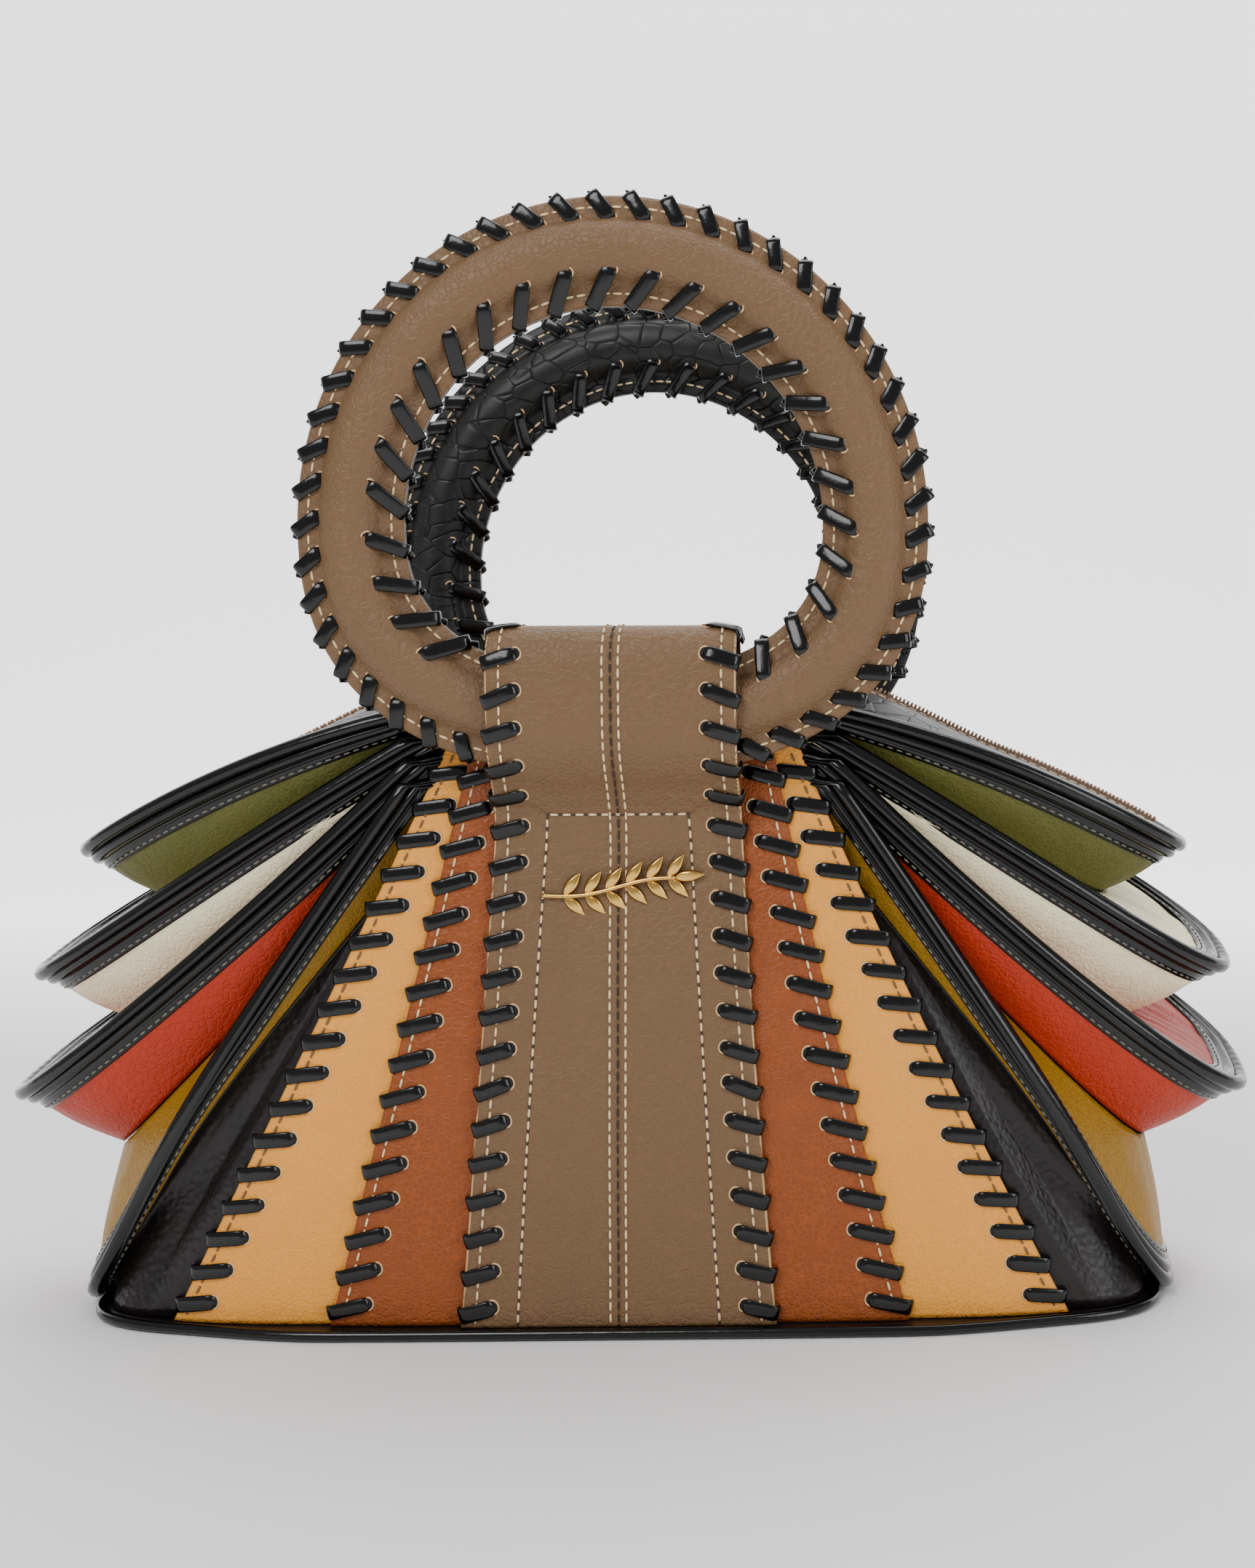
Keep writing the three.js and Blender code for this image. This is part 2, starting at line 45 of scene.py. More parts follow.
# Sizes in millimetres, the same as the part's own
BASE_HALF_WIDTH = 180.0
BASE_HALF_DEPTH = 60.5
BASE_THICKNESS = 3.0
BASE_SQUARENESS = 5.0
BASE_TAPER = 4.5
BASE_PIPING_RADIUS = 1.8
WALL_HEIGHT = 205.0
WALL_FOOT = 3.3
PANEL_THICKNESS = 1.5
LAYER_STEP = 1.8
STRAP_THICKNESS = 2.6
STRAP_HALF_WIDTH = 51.5
STRAP_LOOP_TOP = 233.0
RING_CENTRE_HEIGHT = 266.0
RING_MID_DEPTH = BASE_HALF_DEPTH - 6.5
BACK_RING_DROP = 10.0
BACK_RING_SETOUT = 0.8
RING_OUTER_HALF_WIDTH = 102.5
RING_INNER_HALF_WIDTH = 68.0
RING_THICKNESS = 17.0
ROLL_RADIUS = 2.6
TOP_CROWN = 4.0
ZIP_HALF_WIDTH = 4.2

# Repeats
LACE_PITCH = 12.2
STITCH_PITCH = 3.9
STITCH_LENGTH = 3.0

FRONT_PROFILE = np.array([
    (0, 0.876), (0.29, 0.86), (0.585, 0.8), (0.78, 0.727), (0.85, 0.677), (0.9, 0.636), (1, 0.585),
]) * (WALL_HEIGHT, BASE_HALF_DEPTH)
RUST = dict(layer=2, foot=0.528, head=0.272, flare=1.12, top=0.985)
TAN = dict(layer=1, foot=0.826, head=0.31, flare=1.08, top=0.985)
LAP = 9.0

# Fold lines: start and tip as shares of base half width, wall height and base half depth.
# The rear edges have settled higher than the front ones, by a share of the wall height.
FOLDS = {
    "ridge1": dict(start=(0.39, 1.0, 0.655), tip=(1.075, 0.75), side=0.66, bow=0.028, lift=0.02, square=2.5),
    "valley1": dict(start=(0.31, 0.972, 0.5), tip=(0.92, 0.66), side=0.5, bow=0, lift=0.04, square=2.6),
    "ridge2": dict(start=(0.39, 0.955, 0.67), tip=(1.16, 0.512), side=0.78, bow=0.012, lift=0.1, square=2.7),
    "valley2": dict(start=(0.305, 0.93, 0.52), tip=(0.97, 0.43), side=0.62, bow=0, lift=0.09, square=2.8),
    "ridge3": dict(start=(0.393, 0.917, 0.69), tip=(1.19, 0.315), side=0.9, bow=-0.018, lift=0.1, square=2.9),
    "valley3": dict(start=(0.3, 0.892, 0.535), tip=(1.0, 0.24), side=0.74, bow=-0.014, lift=0.05, square=3.0),
    "ridge4": dict(start=(0.4, 0.88, 0.71), tip=(1.04, 0.043), side=0.96, bow=0.006, lift=0.015, square=3.3),
    "valley4": dict(start=(0.3, 0.845, 0.555), tip=(0.965, 0.06), side=0.83, bow=0, lift=0, square=3.5),
}


# Curves and profiles

def front_depth(z):
    return np.interp(z, FRONT_PROFILE[:, 0], FRONT_PROFILE[:, 1])


def corner_share(x):
    share = np.minimum(np.abs(x) / BASE_HALF_WIDTH, 0.98)
    return (1 - share ** BASE_SQUARENESS) ** (1 / BASE_SQUARENESS)


def edge_at(z, foot, head, flare, top):
    share = np.clip((z - WALL_FOOT) / (top - WALL_FOOT), 0, 1)
    return head + (foot - head) * (1 - share) ** flare


def panel_edge(shape, z):
    return edge_at(z, shape["foot"] * BASE_HALF_WIDTH, shape["head"] * BASE_HALF_WIDTH,
                   shape["flare"], shape["top"] * WALL_HEIGHT)


def strap_edge(z):
    return edge_at(z, STRAP_HALF_WIDTH, 0.78 * STRAP_HALF_WIDTH, 1.3, 0.9 * WALL_HEIGHT)


def rounded_unit(angle, square):
    s, c = np.sin(angle), -np.cos(angle)
    radius = (np.abs(s) ** square + np.abs(c) ** square) ** (-1 / square)
    return s * radius, c * radius


def fold_line(name, angles, side):
    f = FOLDS[name]
    ux, uy = rounded_unit(angles, f["square"])
    x = (f["start"][0] + (f["tip"][0] - f["start"][0]) * ux) * BASE_HALF_WIDTH
    y = uy * (f["start"][2] + (f["side"] - f["start"][2]) * ux) * BASE_HALF_DEPTH
    z = (f["start"][1] + (f["tip"][1] - f["start"][1]) * ux + 4 * f["bow"] * ux * (1 - ux)
         + f["lift"] * ux * (1 + uy) * 0.5) * WALL_HEIGHT
    return np.stack([side * x, y, z], axis=-1)


def smooth_line(points, count):
    """Catmull-Rom curve through points, sampled evenly along its length."""
    p = np.asarray(points, float)
    p = np.vstack([2 * p[0] - p[1], p, 2 * p[-1] - p[-2]])
    out = []
    for i in range(1, len(p) - 2):
        for t in np.linspace(0, 1, 12, endpoint=False):
            out.append(0.5 * (2 * p[i] + (p[i + 1] - p[i - 1]) * t
                              + (2 * p[i - 1] - 5 * p[i] + 4 * p[i + 1] - p[i + 2]) * t ** 2
                              + (3 * p[i] - p[i - 1] - 3 * p[i + 1] + p[i + 2]) * t ** 3))
    out.append(p[-2])
    return resample(np.array(out), count)


def resample(line, count):
    seg = np.linalg.norm(np.diff(line, axis=0), axis=1)
    length = np.concatenate([[0], np.cumsum(seg)])
    at = np.linspace(0, length[-1], count)
    return np.stack([np.interp(at, length, line[:, k]) for k in range(line.shape[1])], axis=1)


def line_length(line):
    return float(np.linalg.norm(np.diff(line, axis=0), axis=1).sum())


def unit(v):
    return v / np.maximum(np.linalg.norm(v, axis=-1, keepdims=True), 1e-9)


def ring_line(half_width, drop, angles):
    s, c = np.sin(angles), np.cos(angles)
    n = 2.4
    radius = (np.abs(s) ** n + np.abs(c) ** n) ** (-1 / n)
    x = np.where(c >= 0, half_width * s, half_width * s * radius)
    z = np.where(c >= 0, half_width * 1.035 * c, half_width * drop * c * radius)
    return x, z


def ring_place(face):
    if face == FRONT:
        return RING_CENTRE_HEIGHT, RING_MID_DEPTH
    return RING_CENTRE_HEIGHT - BACK_RING_DROP, RING_MID_DEPTH + BACK_RING_SETOUT


# Mesh building

def make_object(name, verts, faces, materials, face_materials=None, smooth=True):
    mesh = bpy.data.meshes.new(name)
    mesh.from_pydata((np.asarray(verts) * MM).tolist(), [], [list(map(int, f)) for f in faces])
    for m in materials:
        mesh.materials.append(m)
    if face_materials is not None:
        mesh.polygons.foreach_set("material_index", np.asarray(face_materials, np.int32))
    mesh.polygons.foreach_set("use_smooth", np.full(len(mesh.polygons), smooth))
    mesh.update()
    obj = bpy.data.objects.new(name, mesh)
    bpy.context.scene.collection.objects.link(obj)
    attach(obj, "root")
    return obj


def grid_faces(rows, columns, start=0, closed_rows=False, closed_columns=False):
    faces = []
    for i in range(rows if closed_rows else rows - 1):
        for j in range(columns if closed_columns else columns - 1):
            a, b = i * columns + j, i * columns + (j + 1) % columns
            c, d = ((i + 1) % rows) * columns + (j + 1) % columns, ((i + 1) % rows) * columns + j
            faces.append((start + a, start + b, start + c, start + d))
    return faces


def grid_normals(grid):
    along = np.gradient(grid, axis=0)
    across = np.gradient(grid, axis=1)
    return unit(np.cross(along, across))


def leather_sheet(name, grid, thickness, inside, materials):
    """A leather wall: its outer face is grid, thickened along inside times the grid's normal.
    The second material, if given, is for its cut edges."""
    rows, columns = grid.shape[:2]
    inner = grid + grid_normals(grid) * inside * thickness
    verts = np.vstack([grid.reshape(-1, 3), inner.reshape(-1, 3)])
    n = rows * columns
    outer_faces = grid_faces(rows, columns)
    inner_faces = [f[::-1] for f in grid_faces(rows, columns, n)]
    if inside < 0:
        outer_faces, inner_faces = [f[::-1] for f in outer_faces], [f[::-1] for f in inner_faces]
    loop = [j for j in range(columns)]
    loop += [i * columns + columns - 1 for i in range(1, rows)]
    loop += [(rows - 1) * columns + j for j in range(columns - 2, -1, -1)]
    loop += [i * columns for i in range(rows - 2, 0, -1)]
    rim = []
    for a, b in zip(loop, loop[1:] + loop[:1]):
        face = (b, a, n + a, n + b)
        rim.append(face[::-1] if inside < 0 else face)
    faces = outer_faces + inner_faces + rim
    index = [0] * (len(outer_faces) + len(inner_faces)) + [len(materials) - 1] * len(rim)
    return make_object(name, verts, faces, materials, index)


def sweep(centres, sides, normals, profile, closed=False):
    """Verts and faces of a closed profile [(across, up), ...] swept along centres."""
    profile = np.asarray(profile, float)
    verts = (centres[:, None, :] + sides[:, None, :] * profile[None, :, :1]
             + normals[:, None, :] * profile[None, :, 1:])
    rows, columns = verts.shape[:2]
    faces = grid_faces(rows, columns, 0, closed, True)
    if not closed:
        faces += [tuple(range(columns))[::-1], tuple(range((rows - 1) * columns, rows * columns))]
    return verts.reshape(-1, 3), faces


def circle_profile(radius, sides=10, flat=1.0):
    t = np.linspace(0, 2 * np.pi, sides, endpoint=False)
    return np.stack([radius * np.cos(t), radius * flat * np.sin(t)], axis=1)


def fix_normals(obj):
    """Turn every closed shell of a mesh to face outwards."""
    mesh = bmesh.new()
    mesh.from_mesh(obj.data)
    bmesh.ops.recalc_face_normals(mesh, faces=mesh.faces)
    mesh.to_mesh(obj.data)
    mesh.free()
    obj.data.polygons.foreach_set("use_smooth", np.full(len(obj.data.polygons), True))


class Many:
    """Collects many small solids into one mesh."""

    def __init__(self):
        self.verts, self.faces, self.materials, self.count = [], [], [], 0

    def add(self, verts, faces, material=0):
        self.verts.append(np.asarray(verts))
        self.faces += [tuple(i + self.count for i in f) for f in faces]
        self.materials += [material] * len(faces)
        self.count += len(verts)

    def build(self, name, materials):
        return make_object(name, np.vstack(self.verts), self.faces, materials, self.materials)


def stitch_shape():
    """A short rounded dash along X with its flat side on Z zero."""
    stations = [(-1.0, 0.25), (-0.75, 0.8), (0.0, 1.0), (0.75, 0.8), (1.0, 0.25)]
    turns = np.linspace(0, 2 * np.pi, 6, endpoint=False)
    verts = [(x, r * math.cos(t), r * math.sin(t)) for x, r in stations for t in turns]
    faces = grid_faces(len(stations), 6, 0, False, True)
    faces += [tuple(range(6))[::-1], tuple(range(24, 30))]
    return np.array(verts), faces


STITCH_VERTS, STITCH_FACES = stitch_shape()


def add_stitches(many, line, normals, pitch=STITCH_PITCH, length=STITCH_LENGTH, width=0.42, lift=0.15,
                 material=0, slant=0.0):
    count = max(2, int(line_length(line) / pitch))
    stacked = np.hstack([line, normals])
    seg = np.linalg.norm(np.diff(line, axis=0), axis=1)
    along = np.concatenate([[0], np.cumsum(seg)])
    for i in range(count):
        s = (i + 0.5) / count * along[-1]
        p = np.array([np.interp(s, along, stacked[:, k]) for k in range(6)])
        q = np.array([np.interp(min(s + 0.5, along[-1]), along, stacked[:, k]) for k in range(3)])
        r = np.array([np.interp(max(s - 0.5, 0), along, stacked[:, k]) for k in range(3)])
        direction = unit(q - r)
        normal = unit(p[3:])
        side = unit(np.cross(normal, direction))
        direction = unit(direction * math.cos(slant) + side * math.sin(slant))
        side = unit(np.cross(normal, direction))
        scale = np.array([length / 2, width, width * 0.7])
        local = STITCH_VERTS * scale
        verts = p[:3] + local[:, :1] * direction + local[:, 1:2] * side + (local[:, 2:] + lift) * normal
        many.add(verts, STITCH_FACES, material)


def add_lace(many, inner, edge, normal, width=4.8, wrap=3.2):
    """One flat lace from the hole at inner, over the leather, round the edge and under it."""
    out = edge - inner
    reach = np.linalg.norm(out)
    out = out / reach
    normal = unit(normal - out * np.dot(normal, out))
    across = np.cross(normal, out)
    sway = RNG.normal(0, 0.2)
    low = RNG.uniform(0.9, 1.1)
    path = [(-1.3, -1.2, 0), (-0.7, -0.2, 0), (0.3, 0.62 * low, 0.1 * sway), (0.28 * reach, 0.95 * low, 0.3 * sway),
            (0.62 * reach, 0.95, 0.6 * sway), (reach - 0.4, 0.72, sway), (reach + 0.75, 0.1, sway),
            (reach + 1.0, -1.1, sway), (reach + 0.7, -wrap, sway)]
    p = smooth_line(path, 15)
    centres = inner + p[:, :1] * out + p[:, 1:2] * normal + p[:, 2:] * across
    tangents = unit(np.gradient(centres, axis=0))
    ups = unit(np.cross(np.broadcast_to(across, tangents.shape), tangents))
    ups = ups * np.where(ups[4:5] @ normal > 0, 1.0, -1.0)
    w = width / 2 * (1 + RNG.normal(0, 0.03))
    turns = np.linspace(0, 2 * np.pi, 12, endpoint=False) + np.pi / 12
    c, sn = np.cos(turns), np.sin(turns)
    radius = (np.abs(c) ** 3.2 + np.abs(sn) ** 3.2) ** (-1 / 3.2)
    profile = np.stack([w * c * radius, 0.52 * sn * radius], axis=1)
    sides = np.broadcast_to(across, tangents.shape)
    verts, faces = sweep(centres, sides, ups, profile)
    rows = verts.reshape(len(p), len(profile), 3)
    for k, share in ((0, 0.55), (1, 0.82), (2, 0.95)):
        rows[k] = centres[k] + (rows[k] - centres[k]) * share
    many.add(rows.reshape(-1, 3), faces, 0)
    t = np.linspace(0, 2 * np.pi, 14, endpoint=False)
    centre = inner - out * 0.55
    ring = [(1.0, -0.3), (1.0, 0.1), (0.8, 0.14), (0.76, 0.0)]
    around = np.cos(t)[:, None] * out * 0.8 + np.sin(t)[:, None] * across
    verts = np.vstack([centre + w * r * around + h * normal for r, h in ring])
    many.add(verts, grid_faces(len(ring), len(t), 0, False, True), 1)
    # A near-black disc inside the hole's rim: painted shade where the hole drops away under the lace.
    many.add(centre + w * 0.78 * around + 0.05 * normal, [tuple(range(len(t)))], 2)


# Materials

def new_material(name):
    material = bpy.data.materials.new(name)
    material.use_nodes = True
    tree = material.node_tree
    tree.nodes.clear()
    output = tree.nodes.new("ShaderNodeOutputMaterial")
    shader = tree.nodes.new("ShaderNodeBsdfPrincipled")
    tree.links.new(shader.outputs["BSDF"], output.inputs["Surface"])
    return material, tree, shader


def srgb(r, g, b):
    return tuple((c / 255 / 12.92) if c / 255 <= 0.04045 else ((c / 255 + 0.055) / 1.055) ** 2.4
                 for c in (r, g, b)) + (1.0,)


def shade(colour, factor):
    return tuple(c * factor for c in colour[:3]) + (1.0,)


def noise(tree, coord, scale, detail=4, rough=0.55):
    node = tree.nodes.new("ShaderNodeTexNoise")
    node.inputs["Scale"].default_value = scale
    node.inputs["Detail"].default_value = detail
    node.inputs["Roughness"].default_value = rough
    tree.links.new(coord, node.inputs["Vector"])
    return node.outputs["Fac"]


def voronoi(tree, coord, scale, feature="DISTANCE_TO_EDGE", randomness=1.0):
    node = tree.nodes.new("ShaderNodeTexVoronoi")
    node.feature = feature
    node.inputs["Scale"].default_value = scale
    node.inputs["Randomness"].default_value = randomness
    tree.links.new(coord, node.inputs["Vector"])
    return node.outputs["Distance"]


def ramp(tree, value, stops):
    node = tree.nodes.new("ShaderNodeValToRGB")
    elements = node.color_ramp.elements
    while len(elements) < len(stops):
        elements.new(0.5)
    for element, (place, colour) in zip(elements, stops):
        element.position = place
        element.color = colour
    tree.links.new(value, node.inputs["Fac"])
    return node.outputs["Color"]


def grey(v):
    return (v, v, v, 1.0)


def bump(tree, height, strength, distance, below=None):
    node = tree.nodes.new("ShaderNodeBump")
    node.inputs["Strength"].default_value = strength
    node.inputs["Distance"].default_value = distance
    tree.links.new(height, node.inputs["Height"])
    if below is not None:
        tree.links.new(below, node.inputs["Normal"])
    return node.outputs["Normal"]


def warped(tree, coord, scale, amount):
    """Coordinates pushed about by a little noise, for creases that wander."""
    wobble = tree.nodes.new("ShaderNodeTexNoise")
    wobble.inputs["Scale"].default_value = scale
    wobble.inputs["Detail"].default_value = 2
    tree.links.new(coord, wobble.inputs["Vector"])
    mix = tree.nodes.new("ShaderNodeVectorMath")
    mix.operation = "MULTIPLY_ADD"
    tree.links.new(wobble.outputs["Color"], mix.inputs[0])
    mix.inputs[1].default_value = (amount, amount, amount)
    tree.links.new(coord, mix.inputs[2])
    return mix.outputs["Vector"]


def object_coord(tree):
    return tree.nodes.new("ShaderNodeTexCoord").outputs["Object"]


def leather(name, colour, roughness=0.5, grain=420, grain_bump=0.4, crease_bump=0.5, vary=0.12, coat=0.0,
            blotch=40, network=230):
    """Grained leather: pores, a net of fine creases and a slow change of shade."""
    material, tree, shader = new_material(name)
    coord = object_coord(tree)
    tone = ramp(tree, noise(tree, coord, blotch, 6, 0.65),
                [(0.28, shade(colour, 1 - vary)), (0.5, colour), (0.74, shade(colour, 1 + vary))])
    bent = warped(tree, coord, 130, 0.0022)
    pores = voronoi(tree, bent, grain, "SMOOTH_F1")
    creases = voronoi(tree, bent, network, "DISTANCE_TO_EDGE")
    crease_mask = ramp(tree, creases, [(0.0, grey(0.0)), (0.15, grey(1.0))])
    pale = ramp(tree, creases, [(0.0, shade(colour, 1 + 1.3 * vary)), (0.2, shade(colour, 1 - 0.9 * vary))])
    patches = ramp(tree, noise(tree, coord, 24, 2, 0.5), [(0.36, grey(0.1)), (0.62, grey(0.9))])
    mixed = tree.nodes.new("ShaderNodeMix")
    mixed.data_type = "RGBA"
    tree.links.new(patches, mixed.inputs["Factor"])
    tree.links.new(tone, mixed.inputs["A"])
    tree.links.new(pale, mixed.inputs["B"])
    fine = noise(tree, coord, 2200, 3, 0.6)
    first = bump(tree, fine, 0.2, 0.0002)
    second = bump(tree, pores, grain_bump, -0.0005, first)
    third = bump(tree, crease_mask, crease_bump, 0.0003, second)
    tree.links.new(mixed.outputs["Result"], shader.inputs["Base Color"])
    tree.links.new(third, shader.inputs["Normal"])
    shader.inputs["Roughness"].default_value = roughness
    shader.inputs["Specular IOR Level"].default_value = 0.35
    shader.inputs["Coat Weight"].default_value = coat
    shader.inputs["Coat Roughness"].default_value = 0.35
    return material


def pebbled_leather():
    """Dark leather with a coarse raised pebble and a half gloss."""
    material, tree, shader = new_material("dark_pebbled")
    coord = object_coord(tree)
    bent = warped(tree, coord, 90, 0.0015)
    pebbles = voronoi(tree, bent, 480, "SMOOTH_F1")
    tone = ramp(tree, noise(tree, coord, 60, 4), [(0.3, srgb(15, 11, 11)), (0.75, srgb(28, 21, 20))])
    tree.links.new(tone, shader.inputs["Base Color"])
    tree.links.new(bump(tree, pebbles, 0.45, -0.0006), shader.inputs["Normal"])
    shader.inputs["Roughness"].default_value = 0.38
    shader.inputs["Specular IOR Level"].default_value = 0.4
    return material


def scaled_leather():
    """Near-black leather embossed with rounded, roughly square scales."""
    material, tree, shader = new_material("embossed_scales")
    coord = object_coord(tree)
    stretch = tree.nodes.new("ShaderNodeMapping")
    stretch.inputs["Scale"].default_value = (1.0, 1.0, 1.35)
    tree.links.new(warped(tree, coord, 35, 0.006), stretch.inputs["Vector"])
    cells = voronoi(tree, stretch.outputs["Vector"], 100, "DISTANCE_TO_EDGE", 0.7)
    dome = ramp(tree, cells, [(0.0, grey(0.0)), (0.03, grey(0.7)), (0.1, grey(0.95)), (0.4, grey(1.0))])
    # The grooves between the scales are coloured darker than the scales: painted shade in the grooves.
    tone = ramp(tree, cells, [(0.0, srgb(9, 9, 8)), (0.06, srgb(24, 23, 22)), (0.5, srgb(30, 29, 28))])
    wrinkle = noise(tree, coord, 700, 4, 0.6)
    first = bump(tree, wrinkle, 0.25, 0.0003)
    tree.links.new(tone, shader.inputs["Base Color"])
    tree.links.new(bump(tree, dome, 0.7, 0.0007, first), shader.inputs["Normal"])
    shader.inputs["Roughness"].default_value = 0.42
    shader.inputs["Specular IOR Level"].default_value = 0.34
    return material


def patent(name="patent_black"):
    material, tree, shader = new_material(name)
    coord = object_coord(tree)
    shader.inputs["Base Color"].default_value = srgb(6, 6, 6)
    shader.inputs["Roughness"].default_value = 0.16
    shader.inputs["Specular IOR Level"].default_value = 0.42
    soft = noise(tree, coord, 220, 3, 0.5)
    tree.links.new(bump(tree, soft, 0.3, 0.0004), shader.inputs["Normal"])
    return material


def plain(name, colour, roughness=0.6, metallic=0.0):
    material, tree, shader = new_material(name)
    shader.inputs["Base Color"].default_value = colour
    shader.inputs["Roughness"].default_value = roughness
    shader.inputs["Metallic"].default_value = metallic
    return material


def thread(name, colour):
    material, tree, shader = new_material(name)
    twist = tree.nodes.new("ShaderNodeTexWave")
    twist.inputs["Scale"].default_value = 900
    twist.bands_direction = "DIAGONAL"
    tree.links.new(object_coord(tree), twist.inputs["Vector"])
    tree.links.new(bump(tree, twist.outputs["Fac"], 0.4, 0.0001), shader.inputs["Normal"])
    shader.inputs["Base Color"].default_value = colour
    shader.inputs["Roughness"].default_value = 0.7
    return material


def cut_edge(name, light, dark):
    """The raw edge of stacked leather, in thin light and dark layers."""
    material, tree, shader = new_material(name)
    coord = object_coord(tree)
    layers = tree.nodes.new("ShaderNodeTexWave")
    layers.bands_direction = "Y"
    layers.inputs["Scale"].default_value = 330
    layers.inputs["Distortion"].default_value = 1.2
    tree.links.new(coord, layers.inputs["Vector"])
    tone = ramp(tree, layers.outputs["Fac"], [(0.15, dark), (0.45, light)])
    tree.links.new(tone, shader.inputs["Base Color"])
    shader.inputs["Roughness"].default_value = 0.6
    return material


TAUPE = leather("taupe", srgb(113, 85, 57), 0.46, vary=0.07, blotch=30, network=430)
TAUPE_EDGE = cut_edge("taupe_edge", srgb(206, 168, 116), srgb(120, 88, 54))
RUST_LEATHER = leather("rust", srgb(142, 70, 24), 0.42, vary=0.17, blotch=90, network=540)
RUST_EDGE = cut_edge("rust_edge", srgb(128, 66, 34), srgb(72, 34, 16))
TAN_LEATHER = leather("tan", srgb(238, 160, 62), 0.45, vary=0.06, network=580)
TAN_EDGE = cut_edge("tan_edge", srgb(196, 146, 84), srgb(110, 76, 40))
GREEN = leather("green", srgb(88, 88, 32), 0.5, vary=0.12, network=480)
CREAM = leather("cream", srgb(252, 240, 200), 0.5, vary=0.035, network=430)
RED = leather("red_orange", srgb(170, 40, 2), 0.45, vary=0.09, network=440)
MUSTARD = leather("mustard", srgb(146, 106, 12), 0.45, vary=0.12, network=500)
DARK = pebbled_leather()
SCALES = scaled_leather()
PATENT = patent()
LIGHT_THREAD = thread("light_thread", srgb(236, 208, 160))
DARK_THREAD = thread("dark_thread", srgb(58, 40, 30))
BROWN_THREAD = thread("brown_thread", srgb(120, 88, 50))
GREY_THREAD = thread("grey_thread", srgb(120, 114, 102))
HOLE_RIM = plain("hole_rim", srgb(216, 176, 128), 0.7)
# Near-black for the disc in each lace hole: painted shade, not a colour of the leather.
PAINTED_HOLE_SHADE = plain("painted_hole_shade", srgb(20, 14, 11), 0.8)
GOLD = plain("gold", srgb(222, 178, 98), 0.22, 1.0)
ZIP_TAPE = leather("zip_tape", srgb(88, 68, 54), 0.85, 2400, 0.4, 0.0, 0.08)
ZIP_TEETH = plain("zip_teeth", srgb(138, 104, 74), 0.45)


# Rings

RING_PROFILE_SHARE = np.array([0, 0.03, 0.1, 0.165, 0.2, 0.23, 0.265, 0.33, 0.41, 0.5, 0.59, 0.67, 0.735, 0.77,
                               0.8, 0.835, 0.9, 0.97, 1.0])
RING_PROFILE_RISE = np.array([0.14, 0.22, 0.245, 0.24, 0.25, 0.4, 0.62, 0.84, 0.96, 1.0, 0.96, 0.84, 0.62, 0.4,
                              0.25, 0.24, 0.245, 0.22, 0.14])


def ring_surface(angles, share, rise, face, outward):
    height, depth = ring_place(face)
    xi, zi = ring_line(RING_INNER_HALF_WIDTH, 0.72, angles)
    xo, zo = ring_line(RING_OUTER_HALF_WIDTH, 0.8, angles)
    x = xi + (xo - xi) * share
    z = height + zi + (zo - zi) * share
    return np.stack([x, face * (depth + outward * rise) + 0 * x, z], axis=-1)


def ring_wrinkles(angles, share, seed):
    """Creases drawn across the padded band, most of them where it bends hard at its lower corners."""
    rng = np.random.default_rng(seed)
    relief = 0.12 * np.sin(angles * 9 + 2 * share) + 0.08 * np.sin(angles * 17 + 5 * share)
    for _ in range(90):
        corner = rng.choice([1.85, 4.43])
        at = corner + rng.normal(0, 0.33)
        lean = rng.normal(0, 0.05)
        place, reach = rng.choice([0.28, 0.5, 0.72]), rng.uniform(0.08, 0.2)
        depth = rng.uniform(0.1, 0.38) * math.exp(-((at - corner) / 0.5) ** 2)
        width = rng.uniform(0.006, 0.014)
        line = (angles - at - lean * (share - 0.5)) / width
        relief = relief - depth * np.exp(-line ** 2) * np.exp(-((share - place) / reach) ** 2)
    return relief


def ring_half(name, face, outward, material):
    turns = 900
    angles = np.linspace(0, 2 * np.pi, turns, endpoint=False)
    a, s = np.meshgrid(angles, RING_PROFILE_SHARE, indexing="ij")
    rise = np.broadcast_to(RING_PROFILE_RISE * RING_THICKNESS * 0.5, a.shape)
    padded = np.clip((rise - 2.4) / 2.0, 0, 1)
    rise = rise + ring_wrinkles(a, s, 3 if outward > 0 else 4) * padded
    top = ring_surface(a, s, rise, face, outward)
    flat = ring_surface(a[:, :2], np.array([1.0, 0.0]) * np.ones((turns, 2)), np.full((turns, 2), 0.12),
                        face, outward)
    grid = np.concatenate([top, flat], axis=1)
    faces = grid_faces(turns, grid.shape[1], 0, True, True)
    if face * outward > 0:
        faces = [f[::-1] for f in faces]
    obj = make_object(name, grid.reshape(-1, 3), faces, [material])
    return obj


